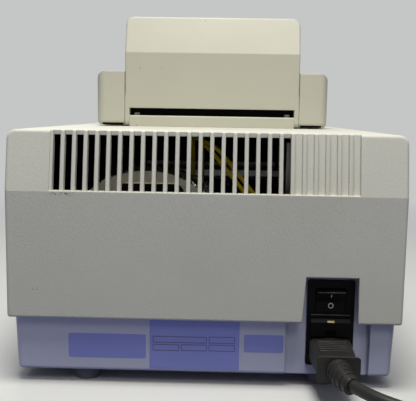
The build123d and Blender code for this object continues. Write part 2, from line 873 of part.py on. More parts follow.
with BuildPart() as transformer_bolt:
    washer_y = coil_rear_y + coil_pad + coil_washer
    with BuildSketch(from_rear(washer_y)):
        with Locations((coil_x, coil_z)):
            Circle(coil_washer_d / 2)
    extrude(amount=coil_washer)
    with BuildSketch(from_rear(washer_y + coil_nut)):
        with Locations((coil_x, coil_z)):
            RegularPolygon(coil_nut_d / 2, 6)
    extrude(amount=coil_nut)
    with BuildSketch(from_rear(washer_y)):
        with Locations((coil_x, coil_z)):
            Circle(coil_bolt_d / 2)
    extrude(amount=washer_y - coil_front_y + coil_plate)
    with BuildSketch(from_rear(coil_front_y - coil_plate)):
        with Locations((coil_x, coil_z)):
            RegularPolygon(coil_nut_d / 2, 6)
    extrude(amount=coil_nut)
save(transformer_bolt, "transformer_bolt")

# Terminal bracket and block
with BuildPart() as terminal_bracket:
    with BuildSketch(from_rear(terminal_plate_y)) as terminal_outline:
        with Locations((terminal_x, (floor_z + terminal_top_z) / 2)):
            Rectangle(terminal_width, terminal_top_z - floor_z)
        fillet(terminal_outline.vertices().group_by(Axis.Z)[-1], terminal_corner)
    extrude(amount=sheet)
    with BuildSketch(Plane.XY.offset(floor_z)):
        with Locations((terminal_x, terminal_plate_y - sheet - terminal_foot / 2)):
            Rectangle(terminal_width, terminal_foot)
    extrude(amount=sheet)
save(terminal_bracket, "terminal_bracket")

terminal_front_y = terminal_plate_y - sheet - terminal_block_depth
with BuildPart() as terminal_block:
    with BuildSketch(from_rear(terminal_plate_y - sheet)):
        with Locations((terminal_x, terminal_block_top_z - terminal_block_height / 2)):
            Rectangle(terminal_block_width, terminal_block_height)
    extrude(amount=terminal_block_depth)
    with BuildSketch(from_rear(terminal_front_y + terminal_screw_d / 2)):
        with Locations((terminal_x, terminal_block_top_z - terminal_block_height / 2)):
            with GridLocations(terminal_screw_spacing, terminal_row_spacing, 4, 2):
                Circle(terminal_screw_d / 2)
    extrude(amount=terminal_screw_d / 2, mode=Mode.SUBTRACT)
save(terminal_block, "terminal_block")

# Board bracket, board and parts
board_x = bracket_x - board_stand
board_foot_z = floor_z + board_margin
board_top_z = bracket_top_z - 2 * board_margin
board_rear_y = bracket_rear_y - 3 * board_margin
board_front_y = bracket_front_y + 2
with BuildPart() as board_bracket:
    with BuildSketch(Plane.XY.offset(floor_z)):
        with BuildLine():
            Polyline(
                (bracket_x, bracket_front_y),
                (bracket_x + sheet, bracket_front_y),
                (bracket_x + sheet, bracket_rear_y - sheet),
                (bracket_x + bracket_flange, bracket_rear_y - sheet),
                (bracket_x + bracket_flange, bracket_rear_y),
                (bracket_x, bracket_rear_y),
                close=True,
            )
        make_face()
    extrude(amount=bracket_top_z - floor_z)
    with BuildSketch(Plane.XY.offset(floor_z)):
        with Locations((bracket_x + bracket_foot / 2, (bracket_front_y + bracket_rear_y) / 2)):
            Rectangle(bracket_foot, bracket_rear_y - bracket_front_y)
    extrude(amount=sheet)
save(board_bracket, "board_bracket")

with BuildPart() as power_board:
    with BuildSketch(Plane.YZ.offset(board_x)):
        with Locations(((board_front_y + board_rear_y) / 2, (board_foot_z + board_top_z) / 2)):
            Rectangle(board_rear_y - board_front_y, board_top_z - board_foot_z)
    extrude(amount=board_thickness)
save(power_board, "power_board")

board_holes = [
    (y, z)
    for y in (board_front_y + board_margin, board_rear_y - board_margin)
    for z in (board_foot_z + board_margin, board_top_z - board_margin)
]
with BuildPart() as board_spacers:
    with BuildSketch(Plane.YZ.offset(board_x + board_thickness)):
        with Locations(*board_holes):
            Circle(spacer_d / 2)
    extrude(amount=board_stand - board_thickness)
save(board_spacers, "board_spacers")

capacitor_y = board_front_y + capacitor_d / 2 + 2
with BuildPart() as board_capacitors:
    with BuildSketch(Plane.YZ.offset(board_x)):
        with Locations(*[(capacitor_y, capacitor_z + n * capacitor_spacing) for n in range(3)]):
            Circle(capacitor_d / 2)
    extrude(amount=-capacitor_length)
    fillet(board_capacitors.faces().sort_by(Axis.X)[0:3].edges(), 1.5)
save(board_capacitors, "board_capacitors")

# Two earth leads from the transformer's plate over the winding to the board's bracket
lead_x = coil_x - lead_inset
lead_y = coil_rear_y - lead_rear_gap
lead_run = [
    (lead_x, coil_front_y - coil_plate / 2, coil_plate_top_z),
    (lead_x, coil_front_y - coil_plate, coil_plate_top_z + lead_rise),
    (lead_x, coil_front_y + lead_pass, lead_top_z),
    (lead_x - lead_turn, coil_rear_y - lead_mid_gap, lead_top_z),
    (lead_x - lead_slope_x, lead_y, lead_top_z - lead_slope_drop),
    (bracket_x + lead_foot_gap, lead_y, lead_top_z - lead_foot_drop),
    (bracket_x + lead_end_gap, lead_y, lead_top_z - lead_end_drop),
    (bracket_x + sheet, lead_y, lead_top_z - lead_end_drop),
]


def round_path(points):
    """Straight runs joined by arcs as large as the runs allow, with the arcs' radii."""
    spots = [Vector(*p) for p in points]
    radii = []
    for before, here, after in zip(spots, spots[1:], spots[2:]):
        half_turn = radians((here - before).get_angle(after - here)) / 2
        radii.append(0.45 * min((here - before).length, (after - here).length) / tan(half_turn))
    with BuildLine() as path:
        FilletPolyline(*spots, radius=radii)
    return path.wires()[0], radii


def round_tube(points, diameter):
    path, radii = round_path(points)
    with BuildPart() as tube:
        with BuildSketch(Plane(origin=path @ 0, z_dir=path % 0)):
            Circle(diameter / 2)
        sweep(path=path)
    return tube.part, path, radii


with BuildPart() as earth_leads:
    add(round_tube(lead_run, lead_d)[0])
    lower_run = [(x - dx, y, z - dz) for (x, y, z), (dx, dz) in zip(lead_run, lower_lead_shift)]
    add(round_tube(lower_run, lead_d)[0])
save(earth_leads, "earth_leads")

# Cooling fan, standing on the tray floor at the rear end of the sink
fan_z = floor_z + seat_gap + fan_size / 2
fan_rotor_r = fan_duct_d / 2 - fan_tip_gap
fan_holes = [(sx * fan_hole_spacing / 2, fan_z + sz * fan_hole_spacing / 2) for sx in (-1, 1) for sz in (-1, 1)]
with BuildPart() as fan_frame:
    with BuildSketch(from_rear(fan_y + fan_depth)):
        with Locations((0, fan_z)):
            RectangleRounded(fan_size, fan_size, 4)
            Circle(fan_duct_d / 2, mode=Mode.SUBTRACT)
        with Locations(*fan_holes):
            Circle(fan_corner_hole_d / 2, mode=Mode.SUBTRACT)
    extrude(amount=fan_depth)
    with BuildSketch(from_rear(fan_y + fan_depth)):
        with Locations((0, fan_z)):
            Circle(fan_hub_d / 2)
            with PolarLocations(fan_duct_d / 4 + 0.5, 4, 45):
                Rectangle(fan_duct_d / 2, fan_strut)
    extrude(amount=fan_spider)
    with BuildSketch(from_rear(fan_y + fan_depth - fan_spider)):
        with Locations((0, fan_z)):
            Circle(fan_shaft_d / 2)
    extrude(amount=fan_depth - fan_spider - 2)
save(fan_frame, "fan_frame")

rotor_rear_y = fan_y + fan_depth - fan_spider - 1
rotor_length = fan_depth - fan_spider - 3
with BuildPart() as fan_rotor:
    with BuildSketch(from_rear(rotor_rear_y)):
        with Locations((0, fan_z)):
            Circle(fan_hub_d / 2)
    extrude(amount=rotor_length)
    blade_reach = fan_rotor_r - fan_hub_d / 2 + 2
    pitch = radians(fan_blade_angle)
    for n in range(fan_blades):
        turn = 2 * pi / fan_blades * n
        outwards = Vector(cos(turn), 0, sin(turn))
        along = Vector(-sin(turn) * sin(pitch), cos(pitch), cos(turn) * sin(pitch))
        root = Vector(0, rotor_rear_y - rotor_length / 2, fan_z) + outwards * (fan_hub_d / 2 - 3)
        with BuildSketch(Plane(origin=root, x_dir=along, z_dir=outwards)):
            Rectangle(rotor_length, fan_blade)
        extrude(amount=blade_reach)
    with BuildSketch(from_rear(rotor_rear_y + 1)):
        with Locations((0, fan_z)):
            Circle(fan_shaft_d / 2 + pin_clearance)
    extrude(amount=fan_depth, mode=Mode.SUBTRACT)
save(fan_rotor, "fan_rotor")

# Thermal block with its wells
block_foot_z = block_top_z - block_height
with BuildPart() as well_cutter:
    with BuildSketch(Plane.XY.offset(block_top_z)):
        RegularPolygon(well_mouth_d / 2, 8)
    extrude(amount=-well_depth, taper=well_taper)
with BuildPart() as thermal_block:
    with BuildSketch(Plane.XY.offset(block_foot_z)):
        with Locations((0, block_y)):
            Rectangle(block_width, block_length)
    extrude(amount=block_height)
    with Locations((0, block_y)):
        with GridLocations(well_spacing, well_spacing, well_columns, well_rows):
            add(well_cutter.part, mode=Mode.SUBTRACT)
save(thermal_block, "thermal_block")

pump_foot_z = block_foot_z - pump_height
with BuildPart() as heat_pumps:
    with BuildSketch(Plane.XY.offset(pump_foot_z)):
        with Locations((0, block_y)):
            with GridLocations(pump_spacing, pump_spacing, 3, 2):
                Rectangle(pump_size, pump_size)
    extrude(amount=pump_height)
save(heat_pumps, "heat_pumps")

sink_rear_y = fan_y - seat_gap
sink_length = sink_rear_y - sink_front_y
sink_middle_y = (sink_rear_y + sink_front_y) / 2
sink_foot_z = pump_foot_z - sink_plate
with BuildPart() as heat_sink:
    with BuildSketch(Plane.XY.offset(sink_foot_z)):
        with Locations((0, sink_middle_y)):
            Rectangle(sink_width, sink_length)
    extrude(amount=sink_plate)
    with BuildSketch(Plane.XY.offset(sink_foot_z)):
        with Locations((0, sink_middle_y)):
            with GridLocations(sink_fin_spacing, 1, sink_fins, 1):
                Rectangle(sink_fin, sink_length)
    extrude(amount=-sink_fin_height)
save(heat_sink, "heat_sink")

stand_x = sink_width / 2 - stand_thickness
with BuildPart() as sink_stands:
    for side in (-1, 1):
        with BuildSketch(Plane.XZ.offset(-sink_rear_y)):
            with BuildLine():
                Polyline(
                    (side * stand_x, sink_foot_z),
                    (side * (stand_x + stand_flange), sink_foot_z),
                    (side * (stand_x + stand_flange), sink_foot_z - stand_thickness),
                    (side * (stand_x + stand_thickness), sink_foot_z - stand_thickness),
                    (side * (stand_x + stand_thickness), floor_z + stand_thickness),
                    (side * (stand_x + stand_flange), floor_z + stand_thickness),
                    (side * (stand_x + stand_flange), floor_z),
                    (side * stand_x, floor_z),
                    close=True,
                )
            make_face()
        extrude(amount=sink_length)
save(sink_stands, "sink_stands")

# Surround of the block, held under the housing's top
surround_foot_z = top_z - surround_depth
lip_top_z = top_z - housing_wall
with BuildPart() as block_surround:
    with BuildSketch(Plane.XY.offset(surround_foot_z)):
        with Locations((0, block_y)):
            RectangleRounded(
                surround_width - 2 * seat_gap, surround_length - 2 * seat_gap, surround_corner - seat_gap
            )
    extrude(amount=surround_depth)
    with BuildSketch(Plane.XY.offset(surround_foot_z)):
        with Locations((0, block_y)):
            RectangleRounded(
                surround_width + 2 * surround_lip, surround_length + 2 * surround_lip, surround_corner
            )
    extrude(amount=lip_top_z - surround_foot_z)
    with BuildSketch(Plane.XY.offset(surround_foot_z)):
        with Locations((0, block_y)):
            Rectangle(block_width + 2 * block_gap, block_length + 2 * block_gap)
    extrude(amount=surround_depth, taper=-14, mode=Mode.SUBTRACT)
save(block_surround, "block_surround")

# Control panel
with BuildPart() as keypad_foil:
    with BuildSketch(on_panel(-keypad_thickness)):
        RectangleRounded(keypad_width, keypad_height, keypad_corner)
    extrude(amount=keypad_thickness)
    key_spacing = key_size + key_gap
    with BuildSketch(on_panel(0)):
        with Locations((key_x, 0)):
            with GridLocations(key_spacing, key_spacing, key_columns, key_rows):
                RectangleRounded(key_size, key_size, 2)
        with Locations((window_x, soft_key_v)):
            with GridLocations(key_spacing, 1, soft_key_columns, 1):
                RectangleRounded(key_size, key_size * soft_key_flat, 2)
    extrude(amount=key_rise)
    with BuildSketch(on_panel(1)):
        with Locations((window_x, window_v)):
            Rectangle(window_width - 2 * window_lap, window_height - 2 * window_lap)
    extrude(amount=-keypad_thickness - 2, mode=Mode.SUBTRACT)
save(keypad_foil, "keypad_foil")

with BuildPart() as display_window:
    with BuildSketch(on_panel(-keypad_thickness)):
        with Locations((window_x, window_v)):
            Rectangle(window_width - 2 * seat_gap, window_height - 2 * seat_gap)
    extrude(amount=-window_thickness)
save(display_window, "display_window")

with BuildPart() as display_module:
    with BuildSketch(on_panel(-housing_wall)):
        with Locations((window_x, window_v)):
            Rectangle(window_width + 2 * display_margin, window_height + 2 * display_margin)
    extrude(amount=-display_depth)
save(display_module, "display_module")

with BuildPart() as panel_board:
    with BuildSketch(on_panel(-housing_wall - display_depth)):
        Rectangle(keypad_width - 2 * panel_board_side, keypad_height - 2 * panel_board_end)
    extrude(amount=-board_thickness)
save(panel_board, "panel_board")

post_x = keypad_width / 2 - panel_post_side
post_v = keypad_height / 2 - panel_post_end
panel_posts_at = [(-post_x, -post_v), (-post_x, post_v), (post_x, -post_v), (post_x, post_v)]
with BuildPart() as panel_spacers:
    with BuildSketch(on_panel(-housing_wall)):
        with Locations(*panel_posts_at):
            Circle(spacer_d / 2)
    extrude(amount=-display_depth)
save(panel_spacers, "panel_spacers")

# Hinge block on the housing's top, with its pin and screws
with BuildPart() as hinge_block:
    with BuildSketch(Plane.YZ) as hinge_side:
        with BuildLine():
            Polyline(
                (hinge_front_y, top_z),
                (hinge_rear_y, top_z),
                (hinge_rear_y, hinge_top_z),
                (hinge_front_y, hinge_top_z),
                close=True,
            )
        make_face()
        fillet(hinge_side.vertices().group_by(Axis.Z)[-1].sort_by(Axis.Y)[-1], 1)
        with Locations((axis_y, axis_z)):
            Circle(hinge_pin_d / 2, mode=Mode.SUBTRACT)
    extrude(amount=hinge_half, both=True)
    with BuildSketch(Plane.XY.offset(top_z)):
        with Locations((-hinge_screw_x, hinge_screw_y), (hinge_screw_x, hinge_screw_y)):
            Circle(hinge_screw_d / 2)
    extrude(amount=hinge_top_z - top_z, mode=Mode.SUBTRACT)
save(hinge_block, "hinge_block")

with BuildPart() as hinge_pin:
    with BuildSketch(Plane.YZ):
        with Locations((axis_y, axis_z)):
            Circle(hinge_pin_d / 2)
    extrude(amount=hinge_pin_half, both=True)
save(hinge_pin, "hinge_pin")

with BuildPart() as hinge_screws:
    with BuildSketch(Plane.XY.offset(hinge_top_z)):
        with Locations((-hinge_screw_x, hinge_screw_y), (hinge_screw_x, hinge_screw_y)):
            Circle(hinge_screw_head_d / 2)
    extrude(amount=hinge_screw_head)
    with BuildSketch(Plane.XY.offset(hinge_top_z)):
        with Locations((-hinge_screw_x, hinge_screw_y), (hinge_screw_x, hinge_screw_y)):
            Circle(hinge_screw_d / 2)
    extrude(amount=-(hinge_top_z - top_z) - housing_wall)
save(hinge_screws, "hinge_screws")

# Lid housing
def pod_form(inset):
    """Side profile of one lid pod, from its inner wall outwards, drawn in by inset."""
    inner_x = hood_half + side_gap
    with BuildPart() as form:
        with BuildSketch(Plane.YZ.offset(inner_x + inset)):
            with BuildLine():
                Polyline(
                    (lid_rear_y, lid_foot_z - 2 * inset),
                    (lid_rear_y, lid_top_z),
                    (lid_slope_y, lid_top_z),
                    (lid_front_y, lid_nose_z),
                    (lid_front_y, lid_foot_z - 2 * inset),
                    close=True,
                )
            make_face()
            if inset:
                offset(amount=-inset, kind=Kind.INTERSECTION)
        extrude(amount=lid_half - inner_x - 2 * inset)
        outer = form.faces().sort_by(Axis.X)[-1]
        fillet([e for e in outer.edges() if e.center().Z > lid_foot_z + lid_wall], lid_corner - inset)
        if not inset:
            foot_edges = form.faces().sort_by(Axis.Z)[0].edges()
            fillet(foot_edges.filter_by(Axis.X).sort_by(Axis.Y)[-1], lid_foot_round)
    return form.part


pod_inner_x = hood_half + side_gap
plate_opening_width = plate_width + 2 * plate_opening_gap
plate_opening_length = plate_length + 2 * plate_opening_gap
boss_r = axis_z - lid_foot_z
guide_bolts_at = [(sx * bolt_span_x / 2, block_y + sy * bolt_span_y / 2) for sx in (-1, 1) for sy in (-1, 1)]
with BuildPart() as lid_housing:
    pod = pod_form(0)
    pocket = pod_form(lid_wall)
    add(pod)
    add(pod.mirror(Plane.YZ))
    add(pocket, mode=Mode.SUBTRACT)
    add(pocket.mirror(Plane.YZ), mode=Mode.SUBTRACT)
    # Deck and front apron between the pods, and the skirt under them
    with BuildSketch(Plane.XY.offset(deck_z)):
        with Locations((0, (lid_front_y + deck_rear_y) / 2)):
            Rectangle(2 * pod_inner_x, deck_rear_y - lid_front_y)
        with Locations(*guide_bolts_at):
            Circle(guide_bolt_d / 2 + seat_gap, mode=Mode.SUBTRACT)
    extrude(amount=deck)
    with BuildSketch(Plane.XY.offset(lid_foot_z)):
        with Locations((0, lid_front_y + lid_wall / 2)):
            Rectangle(2 * pod_inner_x, lid_wall)
    extrude(amount=deck_z - lid_foot_z)
    with BuildSketch(Plane.XY.offset(lid_foot_z)):
        with Locations((0, (lid_front_y + skirt_rear_y) / 2)):
            Rectangle(2 * (lid_half - lid_wall), skirt_rear_y - lid_front_y - 2 * lid_wall)
        with Locations((0, block_y)):
            Rectangle(plate_opening_width, plate_opening_length, mode=Mode.SUBTRACT)
    extrude(amount=skirt_height)
    # Ears for the hinge pin
    for side in (-1, 1):
        with BuildSketch(Plane.YZ.offset(side * pod_inner_x)):
            with Locations((axis_y, axis_z)):
                Circle(boss_r)
        extrude(amount=side * (hinge_pin_half - pod_inner_x + 2))
    with BuildSketch(Plane.YZ):
        with Locations((axis_y, axis_z)):
            Circle(hinge_pin_d / 2 + pin_clearance)
    extrude(amount=hinge_pin_half + 1, both=True, mode=Mode.SUBTRACT)
    # Low slot under the rear of each pod
    with BuildSketch(Plane.XY.offset(lid_foot_z)):
        with Locations((0, lid_rear_y)):
            Rectangle(2 * skirt_slot_half, 2 * lid_wall)
    extrude(amount=skirt_slot_z - lid_foot_z, mode=Mode.SUBTRACT)
save(lid_housing, "lid_housing")

# Lever hood
def hood_form(inset, foot_z):
    """Side profile of the hood, drawn in by inset; its side walls are thicker than the rest."""
    side = hood_side_wall if inset else 0
    with BuildPart() as form:
        with BuildSketch(Plane.YZ):
            with BuildLine():
                back = Polyline(
                    (hood_front_y, foot_z),
                    (hinge_rear_y, foot_z),
                    (hinge_rear_y, hood_crease_z),
                    (hinge_rear_y - hood_lean, hood_top_z),
                    (hood_brow_y, hood_top_z - hood_brow_drop),
                )
                brow = TangentArc(back @ 1, (hood_front_y, hood_nose_z), tangent=back % 1)
                Line(brow @ 1, back @ 0)
            make_face()
            if inset:
                offset(amount=-inset, kind=Kind.INTERSECTION)
        extrude(amount=hood_half - side, both=True)
        if not inset:
            ends = form.faces().sort_by(Axis.X)
            rims = ends[0].edges() + ends[-1].edges()
            top_rims = [e for e in rims if e.center().Z > hood_crease_z]
            fillet([e for e in top_rims if e.center().Y < hinge_rear_y - hood_lean], hood_edge)
            rear_edges = [e for e in rear_rims(form, hood_top_z) if e.center().Z > foot_z + 1]
            fillet(rear_edges, hood_rear_round)
    return form.part


bridge_top_z = bridge_z + bridge_thickness
with BuildPart() as hood_pocket:
    add(hood_form(hood_wall, hood_side_foot_z - 2 * hood_wall))
    # Two ribs stay, which bear on the spring bridge
    with BuildSketch(Plane.XY.offset(bridge_top_z + seat_gap)):
        with Locations((-hood_rib_x, block_y), (hood_rib_x, block_y)):
            Rectangle(hood_wall, hood_rib_length)
    extrude(amount=hood_top_z - bridge_top_z, mode=Mode.SUBTRACT)
with BuildPart() as lever_hood:
    add(hood_form(0, hood_side_foot_z))
    add(hood_pocket.part, mode=Mode.SUBTRACT)
    with BuildSketch(Plane.XY.offset(hood_foot_z)):
        with Locations((0, hinge_rear_y - hood_wall / 2)):
            Rectangle(2 * hood_half, hood_wall)
    extrude(amount=hood_side_foot_z - hood_foot_z)
    for side in (-1, 1):
        with BuildSketch(Plane.YZ.offset(side * (hood_half - hood_side_wall))) as leg:
            with BuildLine():
                Polyline(
                    (leg_front_y, lid_foot_z),
                    (hinge_rear_y, lid_foot_z),
                    (hinge_rear_y, hood_side_foot_z + 1),
                    (leg_front_y, hood_side_foot_z + 1),
                    close=True,
                )
            make_face()
            fillet(leg.vertices().group_by(Axis.Z)[0], lid_foot_round)
        extrude(amount=side * hood_side_wall)
    with BuildSketch(Plane.YZ):
        with Locations((axis_y, axis_z)):
            Circle(hinge_pin_d / 2 + pin_clearance)
    extrude(amount=hood_half + 1, both=True, mode=Mode.SUBTRACT)
save(lever_hood, "lever_hood")

# Heated plate with its mat, insulation, bridge, bolts and springs
plate_z = block_top_z + plate_gap
heater_z = plate_z + plate_thickness
insulation_z = heater_z + heater_thickness


def plate_layer(z, height, hole_d, hole_depth):
    """One layer of the plate, with a hole for each guide bolt sunk from its top."""
    with BuildPart() as layer:
        with BuildSketch(Plane.XY.offset(z)):
            with Locations((0, block_y)):
                RectangleRounded(plate_width, plate_length, plate_corner)
        extrude(amount=height)
        with BuildSketch(Plane.XY.offset(z + height)):
            with Locations(*guide_bolts_at):
                Circle(hole_d / 2)
        extrude(amount=-hole_depth, mode=Mode.SUBTRACT)
    return layer


heated_plate = plate_layer(plate_z, plate_thickness, guide_bolt_d, bolt_sink)
save(heated_plate, "heated_plate")
heater_mat = plate_layer(heater_z, heater_thickness, guide_bolt_d + 1, heater_thickness)
save(heater_mat, "heater_mat")
plate_insulation = plate_layer(insulation_z, insulation_thickness, guide_bolt_d + 1, insulation_thickness)
save(plate_insulation, "plate_insulation")

with BuildPart() as spring_bridge:
    with BuildSketch(Plane.XY.offset(bridge_z)):
        with Locations((0, block_y)):
            Rectangle(bridge_width, bridge_length)
            Rectangle(bridge_width - 2 * bridge_bar, bridge_length - 2 * bridge_bar, mode=Mode.SUBTRACT)
            with Locations((-hood_rib_x, 0), (hood_rib_x, 0)):
                Rectangle(bridge_bar, bridge_length)
        with Locations(*guide_bolts_at):
            Circle(guide_bolt_d / 2 + guide_bolt_clearance, mode=Mode.SUBTRACT)
    extrude(amount=bridge_thickness)
save(spring_bridge, "spring_bridge")

with BuildPart() as guide_bolts:
    with BuildSketch(Plane.XY.offset(heater_z - bolt_sink)):
        with Locations(*guide_bolts_at):
            Circle(guide_bolt_d / 2)
    extrude(amount=bridge_top_z - heater_z + bolt_sink)
    with BuildSketch(Plane.XY.offset(bridge_top_z)):
        with Locations(*guide_bolts_at):
            Circle(guide_bolt_head_d / 2)
    extrude(amount=guide_bolt_head)
save(guide_bolts, "guide_bolts")

with BuildPart() as return_springs:
    with BuildSketch(Plane.XY.offset(deck_z + deck)):
        with Locations(*guide_bolts_at):
            Circle(spring_d / 2)
            Circle(spring_d / 2 - spring_wire, mode=Mode.SUBTRACT)
    extrude(amount=bridge_z - deck_z - deck)
save(return_springs, "return_springs")

# Mains plug in the socket, with grips across its top and foot
plug_face_y = inlet_face_y + 1
plug_rear_y = plug_face_y + plug_length - 1
shoulder_y = plug_rear_y - plug_shoulder
with BuildPart() as mains_plug:
    with BuildSketch(from_rear(plug_face_y)) as plug_nose:
        with Locations((inlet_x, socket_z)):
            Rectangle(socket_width - 2 * plug_clearance, socket_height - 2 * plug_clearance)
        chamfer(plug_nose.vertices().group_by(Axis.Z)[0], socket_chamfer)
    extrude(amount=plug_face_y - socket_floor_y - plug_nose_gap)
    with BuildSketch(from_rear(plug_face_y)):
        with Locations((inlet_x, socket_z)):
            RectangleRounded(plug_width, plug_height - plug_step, plug_corner)
    with BuildSketch(from_rear(shoulder_y)):
        with Locations((inlet_x, socket_z)):
            RectangleRounded(plug_width - 2 * plug_step, plug_height - 2 * plug_step, plug_corner)
    loft()
    with BuildSketch(from_rear(shoulder_y)):
        with Locations((inlet_x, socket_z)):
            RectangleRounded(plug_width - 2 * plug_step, plug_height - 2 * plug_step, plug_corner)
    with BuildSketch(from_rear(plug_rear_y)):
        with Locations((inlet_x, socket_z)):
            RectangleRounded(plug_width, plug_height, plug_corner)
    loft()
    for n in range(plug_grips):
        with BuildSketch(from_rear(plug_face_y + plug_neck + n * plug_grip_spacing)):
            with Locations((inlet_x, socket_z)):
                Rectangle(plug_width - 6 * plug_step, plug_height + 2 * plug_grip_rise - plug_step)
        extrude(amount=plug_grip)
    with BuildSketch(from_rear(plug_face_y)):
        with Locations(*blades_at):
            Rectangle(blade_thickness + 2 * pin_clearance, blade_width + 2 * pin_clearance)
    extrude(amount=plug_face_y - socket_floor_y, mode=Mode.SUBTRACT)
save(mains_plug, "mains_plug")

# Ribbed strain relief, which bends from the plug's axis towards the lead
lead_path, lead_radii = round_path(cord_points)
lead_start = Vector(*cord_points[0])
lead_heading = (Vector(*cord_points[1]) - lead_start).normalized()
relief_start = Vector(inlet_x, plug_rear_y, socket_z)
with BuildLine() as relief_line:
    Spline(relief_start, lead_start, tangents=[Vector(0, 1, 0), lead_heading])
relief_path = relief_line.wires()[0]


def relief_plane(along):
    return Plane(origin=relief_path @ along, x_dir=(0, 0, 1), z_dir=relief_path % along)


def relief_r(along):
    return (relief_d + (relief_tip_d - relief_d) * along) / 2


with BuildPart() as strain_relief:
    for along in (0, 0.33, 0.67, 1):
        with BuildSketch(relief_plane(along)):
            Circle(relief_r(along))
    loft()
    for n in range(relief_rings):
        along = (n + 0.6) / relief_rings
        with BuildSketch(relief_plane(along)):
            Circle(relief_r(along) + relief_ring_rise)
        extrude(amount=relief_ring / 2, both=True)
save(strain_relief, "strain_relief")

tube, _, _ = round_tube(cord_points, cord_d)
with BuildPart() as mains_cord:
    add(tube)
save(mains_cord, "mains_cord")
expected = pi * cord_d**2 / 4 * lead_path.length
print("cord radii", [round(r, 1) for r in lead_radii], "length", round(lead_path.length, 1))
print("cord volume", round(mains_cord.part.volume), "section times length", round(expected))

# Coil of the rest of the lead, as wound for storage in two layers, with its tail to the wall plug
lead_end = Vector(*cord_points[-1])
end_heading = (lead_end - Vector(*cord_points[-2])).normalized()
level_heading = Vector(end_heading.X, end_heading.Y, 0).normalized()
outer_turn_r = coil_turn_d / 2 + cord_d * (coil_rows - 1) / 2
inner_edge_r = outer_turn_r + cord_d / 2 - cord_d * coil_rows
coil_centre = Vector(
    lead_end.X - level_heading.Y * outer_turn_r, lead_end.Y + level_heading.X * outer_turn_r, 0
)
outwards = Vector(level_heading.Y, -level_heading.X, 0)
tail_z = 1.5 * cord_d - coil_sink
tail_x = coil_centre.X - outer_turn_r
wall_plug_y = coil_centre.Y - tail_length
with BuildPart() as cord_coil:
    with BuildSketch(Plane.XY):
        with Locations((coil_centre.X, coil_centre.Y)):
            Circle(outer_turn_r + cord_d / 2)
            Circle(inner_edge_r, mode=Mode.SUBTRACT)
    extrude(amount=cord_d)
    with BuildSketch(Plane.XY.offset(cord_d)):
        with Locations((coil_centre.X, coil_centre.Y)):
            Circle(outer_turn_r - cord_d / 2)
            Circle(inner_edge_r, mode=Mode.SUBTRACT)
    extrude(amount=cord_d)
    # Flat where the lead comes in
    across = Vector(0, 0, 1).cross(end_heading)
    with BuildSketch(Plane(origin=lead_end, x_dir=across, z_dir=end_heading)):
        Rectangle(cord_d + 2 * seat_gap, 4 * cord_d)
    extrude(amount=-5 * cord_d, mode=Mode.SUBTRACT)
    # Last turn, which passes outwards over the lead and leaves as the tail
    with BuildSketch(Plane(origin=coil_centre, x_dir=outwards, z_dir=outwards.cross(Vector(0, 0, 1)))):
        with Locations((outer_turn_r, tail_z)):
            Rectangle(cord_d, cord_d)
    revolve(axis=Axis(coil_centre, (0, 0, 1)), revolution_arc=coil_arc)
    with BuildSketch(from_rear(coil_centre.Y + cord_d / 2)):
        with Locations((tail_x, tail_z)):
            Circle(cord_d / 2)
    extrude(amount=tail_length + cord_d / 2)
save(cord_coil, "cord_coil")

cone_y = wall_plug_y - wall_plug_length * wall_plug_cone
with BuildPart() as wall_plug:
    with BuildSketch(from_rear(wall_plug_y)):
        with Locations((tail_x, tail_z)):
            Circle(relief_d / 2)
    with BuildSketch(from_rear(cone_y)):
        with Locations((tail_x, tail_z)):
            RectangleRounded(wall_plug_width, wall_plug_height, wall_plug_corner)
    loft()
    with BuildSketch(from_rear(cone_y)):
        with Locations((tail_x, tail_z)):
            RectangleRounded(wall_plug_width, wall_plug_height, wall_plug_corner)
    extrude(amount=wall_plug_length * (1 - wall_plug_cone))
save(wall_plug, "wall_plug")

wall_plug_front_y = wall_plug_y - wall_plug_length
with BuildPart() as wall_plug_blades:
    with BuildSketch(from_rear(wall_plug_front_y)):
        with Locations((tail_x, tail_z + wall_plug_blade_rise)):
            with GridLocations(wall_plug_blade_spacing, 1, 2, 1):
                Rectangle(wall_plug_blade_thickness, wall_plug_blade_width)
    extrude(amount=wall_plug_blade)
    with BuildSketch(from_rear(wall_plug_front_y)):
        with Locations((tail_x, tail_z - wall_plug_earth_drop)):
            Circle(wall_plug_earth_d / 2)
    extrude(amount=wall_plug_earth_length)
save(wall_plug_blades, "wall_plug_blades")

first_layer = 2 * pi * coil_rows * coil_turn_d / 2
second_layer = pi * (coil_rows - 1) * (outer_turn_r - cord_d / 2 + inner_edge_r)
last_arc = outer_turn_r * radians(coil_arc)
wound = first_layer + second_layer + last_arc
print("wound length", round(wound), "lead in all", round(wound + tail_length + lead_path.length))
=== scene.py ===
# Bench thermal cycler, closed, seen from behind: finishes, small details, mains lead, light and camera.
# Metres, in the frame of the CAD model.
import math

import bmesh
import bpy
from mathutils import Matrix, Quaternion, Vector, noise


